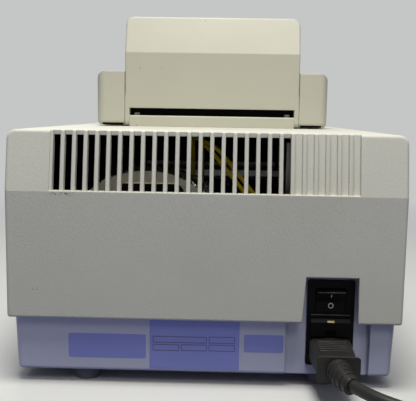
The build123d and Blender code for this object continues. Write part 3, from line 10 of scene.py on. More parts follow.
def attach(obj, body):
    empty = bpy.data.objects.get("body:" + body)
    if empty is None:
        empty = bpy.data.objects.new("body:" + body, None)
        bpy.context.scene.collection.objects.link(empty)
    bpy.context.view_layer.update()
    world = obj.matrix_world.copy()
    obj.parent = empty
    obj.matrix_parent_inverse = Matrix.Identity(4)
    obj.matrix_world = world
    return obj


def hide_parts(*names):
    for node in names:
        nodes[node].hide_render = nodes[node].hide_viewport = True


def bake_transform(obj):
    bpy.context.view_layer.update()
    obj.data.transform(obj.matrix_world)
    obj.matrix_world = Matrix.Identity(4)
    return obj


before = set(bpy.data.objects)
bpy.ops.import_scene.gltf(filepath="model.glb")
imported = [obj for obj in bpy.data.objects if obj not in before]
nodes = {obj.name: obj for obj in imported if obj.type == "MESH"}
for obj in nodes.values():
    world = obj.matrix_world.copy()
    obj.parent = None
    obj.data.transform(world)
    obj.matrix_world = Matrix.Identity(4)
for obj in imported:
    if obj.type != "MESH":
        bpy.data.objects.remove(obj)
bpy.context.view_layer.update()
scene = bpy.context.scene
scene.view_settings.view_transform = "Standard"


def paint(red, green, blue):  # sRGB bytes to a linear colour
    parts = [c / 255 for c in (red, green, blue)]
    return tuple(c / 12.92 if c <= 0.04045 else ((c + 0.055) / 1.055) ** 2.4 for c in parts) + (1.0,)


# Camera behind the machine, a little above it and level with its top
cameraSettings = {
    "place": (-0.01117, 0.65182, 0.18268),
    "yaw": -0.0214277,
    "pitch": 0.1241935,
    "roll": 0.0163722,
    "lens": 60.46,
    "sensor": 36.0,
}


def addCamera(s):
    data = bpy.data.cameras.new("rearCamera")
    data.lens = s["lens"]
    data.sensor_width = s["sensor"]
    data.clip_start = 0.01
    camera = bpy.data.objects.new("rearCamera", data)
    scene.collection.objects.link(camera)
    level = math.cos(s["pitch"])
    forward = Vector((-math.sin(s["yaw"]) * level, -math.cos(s["yaw"]) * level, -math.sin(s["pitch"])))
    camera.location = s["place"]
    camera.rotation_mode = "QUATERNION"
    camera.rotation_quaternion = forward.to_track_quat("-Z", "Y") @ Quaternion((0, 0, 1), s["roll"])
    scene.camera = camera


addCamera(cameraSettings)
print("camera placed")


# Node tools
def put(tree, kind, inputs=None, **settings):
    node = tree.nodes.new(kind)
    for name, value in settings.items():
        setattr(node, name, value)
    for name, value in (inputs or {}).items():
        if isinstance(value, bpy.types.NodeSocket):
            tree.links.new(value, node.inputs[name])
        else:
            node.inputs[name].default_value = value
    return node


def sums(tree, operation, first, second=0.0, clamp=False):
    return put(tree, "ShaderNodeMath", {0: first, 1: second}, operation=operation, use_clamp=clamp).outputs[0]


def blendColours(tree, share, first, second, how="MIX"):
    inputs = {0: share, 6: first, 7: second}
    return put(tree, "ShaderNodeMix", inputs, data_type="RGBA", blend_type=how).outputs[2]


def spread(tree, value, low, high, toLow=0.0, toHigh=1.0):
    inputs = {"Value": value, "From Min": low, "From Max": high, "To Min": toLow, "To Max": toHigh}
    return put(tree, "ShaderNodeMapRange", inputs).outputs[0]


def newGroup(name, inputs, outputs):
    group = bpy.data.node_groups.new(name, "ShaderNodeTree")
    for label, value in inputs.items():
        group.interface.new_socket(label, in_out="INPUT", socket_type="NodeSocketFloat").default_value = value
    for label, kind in outputs.items():
        group.interface.new_socket(label, in_out="OUTPUT", socket_type="NodeSocket" + kind)
    return group, put(group, "NodeGroupInput").outputs, put(group, "NodeGroupOutput").inputs


# Fine grain of a moulded or cast surface, with a slow drift of its colour
def buildGrain():
    group, given, made = newGroup(
        "mouldedGrain", {"Grain Size": 0.001, "Drift Size": 0.05}, {"Height": "Float", "Drift": "Float"}
    )
    place = put(group, "ShaderNodeTexCoord").outputs["Object"]
    grainScale = sums(group, "DIVIDE", 1.0, given["Grain Size"])
    grain = put(group, "ShaderNodeTexNoise", {"Vector": place, "Scale": grainScale, "Detail": 2.0})
    driftScale = sums(group, "DIVIDE", 1.0, given["Drift Size"])
    drift = put(group, "ShaderNodeTexNoise", {"Vector": place, "Scale": driftScale, "Detail": 4.0})
    group.links.new(grain.outputs[0], made["Height"])
    group.links.new(spread(group, drift.outputs[0], 0.3, 0.7), made["Drift"])
    return group


# Rounded look of a sharp edge, and where that edge is rubbed; on the lid this lighter edge is also a painted
# highlight on its rims
def buildSoftEdge():
    group, given, made = newGroup("softEdge", {"Radius": 0.001}, {"Normal": "Vector", "Worn And Lit Edge": "Float"})
    rounded = put(group, "ShaderNodeBevel", {"Radius": given["Radius"]}, samples=6).outputs[0]
    flat = put(group, "ShaderNodeNewGeometry").outputs["Normal"]
    facing = put(group, "ShaderNodeVectorMath", {0: rounded, 1: flat}, operation="DOT_PRODUCT")
    facing = facing.outputs["Value"]
    bend = spread(group, facing, 0.985, 0.82)
    place = put(group, "ShaderNodeTexCoord").outputs["Object"]
    patches = put(group, "ShaderNodeTexNoise", {"Vector": place, "Scale": 140.0, "Detail": 3.0}).outputs[0]
    group.links.new(rounded, made["Normal"])
    group.links.new(sums(group, "MULTIPLY", bend, spread(group, patches, 0.35, 0.65)), made["Worn And Lit Edge"])
    return group


# Dust that settles on what faces up, and sparse dark specks
def buildDust():
    group, given, made = newGroup(
        "settledDust", {"Speck Spacing": 0.011, "Speck Size": 0.05}, {"Dust": "Float", "Specks": "Float"}
    )
    coordinates = put(group, "ShaderNodeTexCoord").outputs
    upward = put(group, "ShaderNodeSeparateXYZ", {0: coordinates["Normal"]}).outputs[2]
    clouds = put(group, "ShaderNodeTexNoise", {"Vector": coordinates["Object"], "Scale": 60.0, "Detail": 6.0})
    cloudy = spread(group, clouds.outputs[0], 0.35, 0.8)
    laid = sums(group, "MULTIPLY", spread(group, upward, 0.55, 1.0), cloudy)
    scale = sums(group, "DIVIDE", 1.0, given["Speck Spacing"])
    cells = put(group, "ShaderNodeTexVoronoi", {"Vector": coordinates["Object"], "Scale": scale})
    near = sums(group, "LESS_THAN", cells.outputs["Distance"], given["Speck Size"])
    group.links.new(laid, made["Dust"])
    group.links.new(near, made["Specks"])
    return group


# Painted shade: the inside of the upper housing is darkened where its cavity lies in shade, and scuffs are
# put on its rear wall
cavityShadeSettings = {
    "middleY": 0.053,
    "halfLength": 0.1435,
    "halfWidth": 0.1278,
    "top": 0.168,
    "rearFrom": 0.2,
    "scuffs": (
        {"x": 0.0930, "z": 0.1296, "halfWidth": 0.0095, "halfHeight": 0.0012},
        {"x": 0.1109, "z": 0.0670, "halfWidth": 0.0022, "halfHeight": 0.0016},
    ),
    "scuffColour": paint(72, 70, 66),
    "cavityShadeColour": paint(16, 16, 17),
}


def buildCavityShade(s):
    group, given, made = newGroup(
        "paintedCavityShade", {"Noise Scale": 900.0}, {"Coat": "Float", "Scuffs": "Float"}
    )
    place = put(group, "ShaderNodeTexCoord").outputs["Object"]
    x, y, z = put(group, "ShaderNodeSeparateXYZ", {0: place}).outputs
    # Mask of the painted shade: the housing's cavity, between its front and rear, within its sides and below
    # its top
    depthways = {0: y, 1: s["middleY"], 2: s["halfLength"]}
    depthways = put(group, "ShaderNodeMath", depthways, operation="COMPARE").outputs[0]
    across = sums(group, "LESS_THAN", sums(group, "ABSOLUTE", x), s["halfWidth"])
    under = sums(group, "LESS_THAN", z, s["top"])
    coat = sums(group, "MULTIPLY", sums(group, "MULTIPLY", depthways, across), under)
    blots = {"Vector": place, "Scale": given["Noise Scale"], "Detail": 3.0}
    blots = put(group, "ShaderNodeTexNoise", blots).outputs[0]
    scuffs = 0.0
    for scuff in s["scuffs"]:
        far = sums(group, "ABSOLUTE", sums(group, "SUBTRACT", x, scuff["x"]))
        high = sums(group, "ABSOLUTE", sums(group, "SUBTRACT", z, scuff["z"]))
        far = sums(group, "DIVIDE", far, scuff["halfWidth"])
        high = sums(group, "DIVIDE", high, scuff["halfHeight"])
        near = spread(group, sums(group, "MAXIMUM", far, high), 1.0, 0.3)
        behind = sums(group, "GREATER_THAN", y, s["rearFrom"])
        scuffs = sums(group, "ADD", scuffs, sums(group, "MULTIPLY", near, behind), True)
    scuffs = sums(group, "MULTIPLY", scuffs, spread(group, blots, 0.5, 0.6))
    group.links.new(coat, made["Coat"])
    group.links.new(scuffs, made["Scuffs"])
    return group


grainGroup = buildGrain()
cavityShadeGroup = buildCavityShade(cavityShadeSettings)
edgeGroup = buildSoftEdge()
dustGroup = buildDust()


def newMaterial(name):
    material = bpy.data.materials.new(name)
    material.use_nodes = True
    tree = material.node_tree
    shader = tree.nodes["Principled BSDF"]
    return material, tree, shader


def place(tree, group, **values):
    node = put(tree, "ShaderNodeGroup", node_tree=group)
    for name, value in values.items():
        node.inputs[name].default_value = value
    return node.outputs


def plain(shader, values):
    for name, value in values.items():
        shader.inputs[name].default_value = value


# Moulded plastics, rubbers and other solid finishes
def buildMoulded(name, s):
    material, tree, shader = newMaterial(name)
    grain = place(tree, grainGroup, **{"Grain Size": s["grain"], "Drift Size": s["driftSize"]})
    edge = place(tree, edgeGroup, Radius=s["edge"])
    dust = place(tree, dustGroup, **{"Speck Spacing": s["speckSpacing"], "Speck Size": s["speckSize"]})
    colour = blendColours(tree, grain["Drift"], s["colour"], s["shade"])
    mottle = spread(tree, grain["Height"], 0.25, 0.75, 1 - s["mottle"], 1 + s["mottle"])
    mottle = put(tree, "ShaderNodeCombineColor", {0: mottle, 1: mottle, 2: mottle}).outputs[0]
    colour = blendColours(tree, 1.0, colour, mottle, "MULTIPLY")
    # Lighter edges: wear, and on the lid a painted highlight on its rims
    colour = blendColours(tree, sums(tree, "MULTIPLY", edge["Worn And Lit Edge"], s["wear"]), colour, s["rubbed"])
    colour = blendColours(tree, sums(tree, "MULTIPLY", dust["Dust"], s["dust"]), colour, s["dustColour"])
    colour = blendColours(tree, sums(tree, "MULTIPLY", dust["Specks"], s["specks"]), colour, s["speckColour"])
    # Scuffs, then the painted shade that darkens the housing's inside
    if s["coated"]:
        inside = place(tree, cavityShadeGroup)
        colour = blendColours(tree, inside["Scuffs"], colour, cavityShadeSettings["scuffColour"])
        colour = blendColours(tree, inside["Coat"], colour, cavityShadeSettings["cavityShadeColour"])
    tree.links.new(colour, shader.inputs["Base Color"])
    roughness = spread(tree, grain["Drift"], 0.0, 1.0, s["roughness"] - 0.05, s["roughness"] + 0.05)
    roughness = sums(tree, "SUBTRACT", roughness, sums(tree, "MULTIPLY", edge["Worn And Lit Edge"], 0.12))
    dusty = sums(tree, "MULTIPLY", dust["Dust"], 0.2 * s["dust"])
    tree.links.new(sums(tree, "ADD", roughness, dusty, True), shader.inputs["Roughness"])
    bump = {"Height": grain["Height"], "Distance": s["depth"], "Normal": edge["Normal"]}
    bump = put(tree, "ShaderNodeBump", bump)
    tree.links.new(bump.outputs[0], shader.inputs["Normal"])
    plain(shader, s["shader"])
    return material


mouldedBase = {
    "grain": 0.0011,
    "driftSize": 0.06,
    "edge": 0.0008,
    "mottle": 0.03,
    "wear": 0.3,
    "dust": 0.25,
    "dustColour": paint(214, 210, 200),
    "specks": 0.0,
    "speckColour": paint(70, 66, 58),
    "speckSpacing": 0.012,
    "speckSize": 0.045,
    "depth": 0.0001,
    "roughness": 0.5,
    "coated": 0.0,
    "shader": {},
}


def mouldedWith(**changes):
    return {**mouldedBase, **changes}


mouldedSettings = {
    "housingPlastic": mouldedWith(
        colour=paint(202, 201, 189), shade=paint(197, 196, 183), rubbed=paint(219, 218, 208), mottle=0.04,
        grain=0.001, depth=0.00013, roughness=0.55, specks=0.3, speckSize=0.03, wear=0.45, edge=0.0008,
        coated=1.0,
    ),
    # Lid: its light edge colour and large edge amount are painted highlights on the rims of the hood and
    # pods, besides wear
    "lidPlastic": mouldedWith(
        colour=paint(187, 185, 169), shade=paint(183, 181, 164), rubbed=paint(224, 223, 212), mottle=0.012,
        grain=0.0007, depth=0.00004, roughness=0.42, specks=0.4, speckSpacing=0.016, edge=0.0011,
        wear=0.6,
    ),
    "basePlastic": mouldedWith(
        colour=paint(193, 196, 212), shade=paint(188, 191, 207), rubbed=paint(207, 209, 219), mottle=0.02,
        grain=0.0008, depth=0.00006, roughness=0.48, edge=0.0009,
    ),
    "blackPlastic": mouldedWith(
        colour=paint(11, 11, 13), shade=paint(8, 8, 10), rubbed=paint(56, 54, 51), mottle=0.04,
        grain=0.0006, depth=0.00004, roughness=0.5, dust=0.05, wear=0.3, edge=0.0005,
        shader={"Specular IOR Level": 0.07},
    ),
    "footRubber": mouldedWith(
        colour=paint(120, 120, 126), shade=paint(104, 104, 110), rubbed=paint(140, 140, 142),
        roughness=0.75, wear=0.5,
    ),
    "cableRubber": mouldedWith(
        colour=paint(39, 38, 36), shade=paint(32, 31, 30), rubbed=paint(96, 93, 86), roughness=0.42,
        grain=0.0006, depth=0.00005, dust=0.1, dustColour=paint(90, 87, 82), wear=0.6, edge=0.0008,
        shader={"Specular IOR Level": 0.28},
    ),
    "padGrey": mouldedWith(
        colour=paint(236, 232, 212), shade=paint(226, 221, 200), rubbed=paint(240, 237, 224),
        roughness=0.7, mottle=0.08,
    ),
    "leadYellow": mouldedWith(
        colour=paint(250, 222, 24), shade=paint(240, 208, 18), rubbed=paint(250, 228, 90),
        roughness=0.35, dust=0.0,
    ),
    "capacitorSleeve": mouldedWith(
        colour=paint(34, 44, 74), shade=paint(30, 40, 66), rubbed=paint(80, 90, 120),
        roughness=0.3, dust=0.15,
    ),
    "heaterRubber": mouldedWith(
        colour=paint(190, 92, 44), shade=paint(172, 80, 36), rubbed=paint(210, 120, 70), roughness=0.6,
    ),
    "insulationFoam": mouldedWith(
        colour=paint(226, 222, 210), shade=paint(210, 204, 190), rubbed=paint(236, 233, 224), roughness=0.9,
        grain=0.0009, depth=0.0004, mottle=0.08,
    ),
    "plainFoil": mouldedWith(
        colour=paint(140, 148, 214), shade=paint(134, 142, 208), rubbed=paint(160, 167, 220), roughness=0.4,
        grain=0.0004, depth=0.00001, mottle=0.01, dust=0.05, edge=0.0001,
    ),
    "foilInk": mouldedWith(
        colour=paint(58, 60, 84), shade=paint(52, 54, 78), rubbed=paint(70, 72, 96), roughness=0.5,
        grain=0.0004, depth=0.00001, mottle=0.01, dust=0.0, edge=0.0001,
    ),
    # White for the printed switch marks, and for painted highlights on the hinge screws and the rocker's top
    # edge
    "whitePrintAndHighlight": mouldedWith(
        colour=paint(226, 226, 220), shade=paint(214, 214, 208), rubbed=paint(230, 230, 226), roughness=0.5,
        grain=0.0004, depth=0.00001, mottle=0.01, edge=0.0001,
    ),
    # Tan of a cut fibre edge, made light enough to act as a painted highlight on the terminal bracket's cut
    # edge; also used for the drawer's tab
    "fibreEdge": mouldedWith(
        colour=paint(244, 228, 152), shade=paint(230, 212, 132), rubbed=paint(246, 234, 176), roughness=0.6,
        grain=0.0005, depth=0.00003, mottle=0.08, edge=0.0002,
    ),
    "ceramic": mouldedWith(
        colour=paint(232, 230, 224), shade=paint(224, 221, 213), rubbed=paint(240, 238, 232), roughness=0.35,
        grain=0.0005, depth=0.00002,
    ),
    "keypadFilm": mouldedWith(
        colour=paint(186, 188, 196), shade=paint(180, 182, 190), rubbed=paint(206, 208, 214), roughness=0.4,
        grain=0.0004, depth=0.00003, mottle=0.01, edge=0.0006,
    ),
    "keyGrey": mouldedWith(
        colour=paint(150, 153, 168), shade=paint(145, 148, 163), rubbed=paint(176, 178, 188), roughness=0.45,
        grain=0.0004, depth=0.00002, mottle=0.01, dust=0.1, edge=0.0003,
    ),
    "displayGrey": mouldedWith(
        colour=paint(120, 128, 112), shade=paint(114, 122, 107), rubbed=paint(130, 138, 122), roughness=0.25,
        grain=0.0004, depth=0.00001, mottle=0.01, dust=0.0,
    ),
}


# Metals, brushed or turned along one axis
def buildMetal(name, s):
    material, tree, shader = newMaterial(name)
    coordinates = put(tree, "ShaderNodeTexCoord").outputs["Object"]
    stretched = put(tree, "ShaderNodeMapping", {"Vector": coordinates, "Scale": s["stretch"]}).outputs[0]
    strokes = {"Vector": stretched, "Scale": s["scale"], "Detail": 3.0}
    strokes = put(tree, "ShaderNodeTexNoise", strokes).outputs[0]
    stains = put(tree, "ShaderNodeTexNoise", {"Vector": coordinates, "Scale": 35.0, "Detail": 5.0}).outputs[0]
    edge = place(tree, edgeGroup, Radius=s["edge"])
    colour = blendColours(tree, spread(tree, stains, 0.35, 0.7), s["colour"], s["stain"])
    colour = blendColours(tree, sums(tree, "MULTIPLY", edge["Worn And Lit Edge"], 0.5), colour, s["rubbed"])
    tree.links.new(colour, shader.inputs["Base Color"])
    tree.links.new(spread(tree, strokes, 0.2, 0.8, s["smooth"], s["rough"]), shader.inputs["Roughness"])
    bump = {"Height": strokes, "Distance": s["depth"], "Normal": edge["Normal"]}
    bump = put(tree, "ShaderNodeBump", bump)
    tree.links.new(bump.outputs[0], shader.inputs["Normal"])
    plain(shader, {"Metallic": 1.0})
    return material


metalSettings = {
    "steel": {
        "colour": paint(172, 170, 164), "stain": paint(150, 146, 138), "rubbed": paint(210, 208, 204),
        "stretch": (1, 1, 12), "scale": 160.0,
        "smooth": 0.32, "rough": 0.5, "depth": 0.00002, "edge": 0.0004,
    },
    "brightSteel": {
        "colour": paint(212, 211, 208), "stain": paint(196, 194, 188), "rubbed": paint(232, 232, 230),
        "stretch": (1, 14, 1), "scale": 420.0,
        "smooth": 0.14, "rough": 0.28, "depth": 0.00001, "edge": 0.0003,
    },
    "brass": {
        "colour": paint(206, 170, 96), "stain": paint(176, 138, 72), "rubbed": paint(228, 198, 130),
        "stretch": (1, 10, 1), "scale": 400.0,
        "smooth": 0.2, "rough": 0.36, "depth": 0.00001, "edge": 0.0003,
    },
    "aluminium": {
        "colour": paint(196, 197, 198), "stain": paint(180, 181, 182), "rubbed": paint(224, 225, 226),
        "stretch": (14, 1, 1), "scale": 300.0,
        "smooth": 0.26, "rough": 0.42, "depth": 0.00002, "edge": 0.0004,
    },
}


# Thermal block: bare metal on top, dark insulating foam around its sides
blockSettings = {
    "centre": (0.0, -0.022, 0.0),
    "bareHalfX": 0.0576,
    "bareHalfY": 0.0396,
    "foamTop": 0.168,
    "bright": paint(196, 197, 198),
    "dull": paint(178, 179, 180),
    "foam": paint(14, 14, 15),
    "metalRoughness": 0.34,
    "foamRoughness": 0.9,
    "strokeScale": 700.0,
    "depth": 0.00002,
}


def buildBlock(name, s):
    material, tree, shader = newMaterial(name)
    coordinates = put(tree, "ShaderNodeTexCoord").outputs["Object"]
    height = put(tree, "ShaderNodeSeparateXYZ", {0: coordinates}).outputs[2]
    facing = put(tree, "ShaderNodeTexCoord").outputs["Normal"]
    upward = put(tree, "ShaderNodeSeparateXYZ", {0: facing}).outputs[2]
    across = put(tree, "ShaderNodeVectorMath", {0: coordinates, 1: s["centre"]}, operation="SUBTRACT")
    across = across.outputs[0]
    x, y, _ = put(tree, "ShaderNodeSeparateXYZ", {0: across}).outputs
    alongX = sums(tree, "GREATER_THAN", sums(tree, "ABSOLUTE", x), s["bareHalfX"])
    alongY = sums(tree, "GREATER_THAN", sums(tree, "ABSOLUTE", y), s["bareHalfY"])
    low = sums(tree, "LESS_THAN", height, s["foamTop"])
    foam = sums(tree, "MULTIPLY", sums(tree, "MAXIMUM", alongX, alongY), low)
    strokes = {"Vector": coordinates, "Scale": s["strokeScale"], "Detail": 2.0}
    strokes = put(tree, "ShaderNodeTexNoise", strokes).outputs[0]
    bright = blendColours(tree, strokes, s["bright"], s["dull"])
    tree.links.new(blendColours(tree, foam, bright, s["foam"]), shader.inputs["Base Color"])
    tree.links.new(sums(tree, "SUBTRACT", 1.0, foam), shader.inputs["Metallic"])
    roughness = spread(tree, foam, 0.0, 1.0, s["metalRoughness"], s["foamRoughness"])
    tree.links.new(roughness, shader.inputs["Roughness"])
    height = sums(tree, "MULTIPLY", strokes, upward)
    bump = put(tree, "ShaderNodeBump", {"Height": height, "Distance": s["depth"]})
    tree.links.new(bump.outputs[0], shader.inputs["Normal"])
    return material


# Printed circuit board: green resist over a net of copper tracks
boardSettings = {
    "resist": paint(52, 116, 66),
    "track": paint(30, 84, 46),
    "solder": paint(196, 196, 190),
    "trackScale": 260.0,
    "padScale": 190.0,
    "padSize": 0.16,
    "depth": 0.00005,
    "roughness": 0.35,
}


def buildBoard(name, s):
    material, tree, shader = newMaterial(name)
    coordinates = put(tree, "ShaderNodeTexCoord").outputs["Object"]
    cells = {"Vector": coordinates, "Scale": s["trackScale"]}
    cells = put(tree, "ShaderNodeTexVoronoi", cells, feature="DISTANCE_TO_EDGE").outputs[0]
    tracks = spread(tree, cells, 0.04, 0.07)
    pads = {"Vector": coordinates, "Scale": s["padScale"], "Randomness": 0.35}
    pads = put(tree, "ShaderNodeTexVoronoi", pads).outputs["Distance"]
    solder = sums(tree, "LESS_THAN", pads, s["padSize"])
    green = blendColours(tree, tracks, s["resist"], s["track"])
    tree.links.new(blendColours(tree, solder, green, s["solder"]), shader.inputs["Base Color"])
    tree.links.new(solder, shader.inputs["Metallic"])
    bump = put(tree, "ShaderNodeBump", {"Height": tracks, "Distance": s["depth"]})
    tree.links.new(bump.outputs[0], shader.inputs["Normal"])
    plain(shader, {"Roughness": s["roughness"]})
    return material


# Clear window and glass: thin film of scratches over a clear shader
def buildClear(name, tint, roughness):
    material, tree, shader = newMaterial(name)
    coordinates = put(tree, "ShaderNodeTexCoord").outputs["Object"]
    stretched = put(tree, "ShaderNodeMapping", {"Vector": coordinates, "Scale": (1, 9, 9)}).outputs[0]
    strokes = put(tree, "ShaderNodeTexNoise", {"Vector": stretched, "Scale": 90.0, "Detail": 5.0}).outputs[0]
    tree.links.new(spread(tree, strokes, 0.45, 0.8, roughness, roughness + 0.12), shader.inputs["Roughness"])
    plain(shader, {"Base Color": tint, "Transmission Weight": 1.0, "IOR": 1.49})
    return material


# Crinkled polyester film wound over the transformer's copper
filmSettings = {
    "film": paint(250, 247, 232),
    "fold": paint(214, 209, 190),
    "crease": paint(250, 250, 246),
    "creaseScale": 210.0,
    "foldScale": 90.0,
    "smooth": 0.05,
    "rough": 0.2,
    "depth": 0.0014,
    "shader": {"Coat Weight": 1.0, "Coat Roughness": 0.04, "Metallic": 0.7},
}


def buildFilm(name, s):
    material, tree, shader = newMaterial(name)
    coordinates = put(tree, "ShaderNodeTexCoord").outputs["Object"]
    creases = {"Vector": coordinates, "Scale": s["creaseScale"]}
    creases = put(tree, "ShaderNodeTexVoronoi", creases, feature="DISTANCE_TO_EDGE").outputs[0]
    folds = {"Vector": coordinates, "Scale": s["foldScale"], "Detail": 4.0}
    folds = put(tree, "ShaderNodeTexNoise", folds).outputs[0]
    colour = blendColours(tree, spread(tree, folds, 0.35, 0.65), s["film"], s["fold"])
    colour = blendColours(tree, spread(tree, creases, 0.0, 0.06, 0.8, 0.0), colour, s["crease"])
    tree.links.new(colour, shader.inputs["Base Color"])
    tree.links.new(spread(tree, folds, 0.3, 0.7, s["smooth"], s["rough"]), shader.inputs["Roughness"])
    height = sums(tree, "ADD", spread(tree, creases, 0.0, 0.3), folds)
    bump = put(tree, "ShaderNodeBump", {"Height": height, "Distance": s["depth"]})
    tree.links.new(bump.outputs[0], shader.inputs["Normal"])
    plain(shader, s["shader"])
    return material


finishes = {name: buildMoulded(name, s) for name, s in mouldedSettings.items()}
finishes.update({name: buildMetal(name, s) for name, s in metalSettings.items()})
finishes["boardGreen"] = buildBoard("boardGreen", boardSettings)
finishes["windowClear"] = buildClear("windowClear", paint(236, 240, 236), 0.03)
finishes["fuseGlass"] = buildClear("fuseGlass", paint(244, 246, 244), 0.02)
finishes["windingFilm"] = buildFilm("windingFilm", filmSettings)
finishes["wrappedBlock"] = buildBlock("wrappedBlock", blockSettings)
print("finishes built")

slotFinish = {
    "housing_plastic": "housingPlastic",
    "base_plastic": "basePlastic",
    "lid_plastic": "lidPlastic",
    "black_plastic": "blackPlastic",
    "foot_rubber": "footRubber",
    "cable_rubber": "cableRubber",
    "steel": "steel",
    "bright_steel": "brightSteel",
    "brass": "brass",
    "winding_film": "windingFilm",
    "pad_grey": "padGrey",
    "lead_yellow": "leadYellow",
    "board_green": "boardGreen",
    "capacitor_sleeve": "capacitorSleeve",
    "aluminium": "aluminium",
    "ceramic": "ceramic",
    "heater_rubber": "heaterRubber",
    "insulation_foam": "insulationFoam",
    "keypad_film": "keypadFilm",
    "window_clear": "windowClear",
    "display_grey": "displayGrey",
    "fuse_glass": "fuseGlass",
}


def dressNodes():
    for name, node in nodes.items():
        for held in node.material_slots:
            slotName = held.material.name.split(".")[0]
            if slotName not in slotFinish:
                print("no finish for", name, slotName)
                continue
            held.material = finishes[slotFinish[slotName]]


dressNodes()
nodes["thermal_block"].material_slots[0].material = finishes["wrappedBlock"]
# Hinge screws in white: a painted highlight for the light falling on them
nodes["hinge_screws"].material_slots[0].material = finishes["whitePrintAndHighlight"]


# Pieces
def addPiece(name, shape, finish, body, smoothAngle=35.0):
    mesh = bpy.data.meshes.new(name)
    shape.to_mesh(mesh)
    shape.free()
    mesh.materials.append(finishes[finish])
    mesh.shade_smooth()
    mesh.set_sharp_from_angle(angle=math.radians(smoothAngle))
    piece = bpy.data.objects.new(name, mesh)
    scene.collection.objects.link(piece)
    if body:
        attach(piece, body)
    return piece


# Crinkled film around the transformer's winding, in overlapping turns
windingSettings = {
    "centre": (0.042, 0.145, 0.0805),
    "ringRadius": 0.0435,
    "halfBand": 0.0222,
    "halfLength": 0.0252,
    "squareness": 3.2,
    "wraps": 46,
    "skew": 2.0,
    "lap": 0.0012,
    "crease": 0.0016,
    "steps": 220,
    "around": 36,
}


def addWinding(s):
    shape = bmesh.new()
    section = bmesh.ops.create_circle(shape, segments=s["around"], radius=1.0)["verts"]
    for v in section:
        power = 2 / s["squareness"]
        along, outward = v.co.x, v.co.y
        v.co.y = math.copysign(abs(along) ** power, along) * s["halfLength"]
        v.co.x = s["ringRadius"] + math.copysign(abs(outward) ** power, outward) * s["halfBand"]
    bmesh.ops.spin(
        shape, geom=shape.edges[:], cent=(0, 0, 0), axis=(0, 1, 0), angle=2 * math.pi,
        steps=s["steps"], use_merge=True,
    )
    bmesh.ops.recalc_face_normals(shape, faces=shape.faces)
    shape.normal_update()
    for v in shape.verts:
        turn = math.atan2(v.co.z, v.co.x)
        reach = math.hypot(v.co.x, v.co.z) - s["ringRadius"]
        side = math.atan2(v.co.y, reach)
        phase = (turn * s["wraps"] + side * s["skew"]) / (2 * math.pi) % 1.0
        crumple = noise.noise(v.co * 260) + 0.6 * noise.noise(v.co * 620)
        v.co -= v.normal * (s["lap"] * phase + s["crease"] * max(0.0, 0.5 + 0.5 * crumple))
    bmesh.ops.translate(shape, verts=shape.verts, vec=s["centre"])
    winding = addPiece("windingWrap", shape, "windingFilm", "root", 20)
    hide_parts("transformer_coil")


addWinding(windingSettings)

# Helical springs between the lid's deck and the spring bridge
springSettings = {
    "spanX": 0.045,
    "spanY": 0.025,
    "middleY": -0.022,
    "radius": 0.0038,
    "wire": 0.00055,
    "foot": 0.197,
    "top": 0.210,
    "coils": 5,
    "stepsPerCoil": 20,
}


def addSprings(s):
    shape = bmesh.new()
    rise = s["top"] - s["foot"] - 2 * s["wire"]
    for signX in (-1, 1):
        for signY in (-1, 1):
            centre = Vector((signX * s["spanX"], s["middleY"] + signY * s["spanY"], s["foot"] + s["wire"]))
            steps = s["coils"] * s["stepsPerCoil"]
            matrix = Matrix.Translation(centre + Vector((s["radius"], 0, 0)))
            matrix = matrix @ Matrix.Rotation(math.pi / 2, 4, "X")
            ring = bmesh.ops.create_circle(
                shape, segments=8, radius=s["wire"], matrix=matrix, cap_ends=True
            )["verts"]
            faces = list({f for v in ring for f in v.link_faces})
            bmesh.ops.spin(
                shape, geom=faces, cent=centre, axis=(0, 0, 1), dvec=(0, 0, rise / steps),
                angle=2 * math.pi * s["coils"], steps=steps,
            )
    bmesh.ops.recalc_face_normals(shape, faces=shape.faces)
    springs = addPiece("springCoils", shape, "brightSteel", None, 60)
    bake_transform(springs)
    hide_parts("return_springs")


addSprings(springSettings)
print("winding and springs built")


# Thin plates, bars and marks
def addBar(name, size, centre, finish, body, slotName, bevel=0.0, turn=None):
    shape = bmesh.new()
    made = bmesh.ops.create_cube(shape, size=1.0)["verts"]
    bmesh.ops.scale(shape, verts=made, vec=size)
    if bevel:
        upright = [e for e in shape.edges if abs((e.verts[0].co - e.verts[1].co).y) > 0.5 * size[1]]
        bmesh.ops.bevel(
            shape, geom=upright, offset=bevel, affect="EDGES", segments=4, profile=0.5, material=-1,
            offset_type="OFFSET",
        )
    matrix = Matrix.Translation(centre) @ (turn or Matrix())
    bmesh.ops.transform(shape, matrix=matrix, verts=shape.verts)
    addPiece(name, shape, finish, body)


# Blank foils on the base's rear wall, one with ruled boxes
foilSettings = {
    "footZ": 0.0089,
    "footY": 0.1985,
    "lean": 2.5,
    "thickness": 0.00012,
    "foils": {
        "leftFoil": (0.0908, 0.0387, 0.0182, 0.0351, 0.0012),
        "middleFoil": (0.0362, -0.0240, 0.0112, 0.0464, 0.0004),
        "rightFoil": (-0.0271, -0.0534, 0.0242, 0.0366, 0.0012),
    },
    "boxes": (
        (0.0338, -0.0019, 0.0299, 0.0340),
        (-0.0038, -0.0207, 0.0301, 0.0343),
        (0.0338, 0.0167, 0.0242, 0.0283),
        (0.0149, -0.0020, 0.0244, 0.0285),
        (-0.0038, -0.0207, 0.0245, 0.0287),
    ),
    "rule": 0.00035,
}


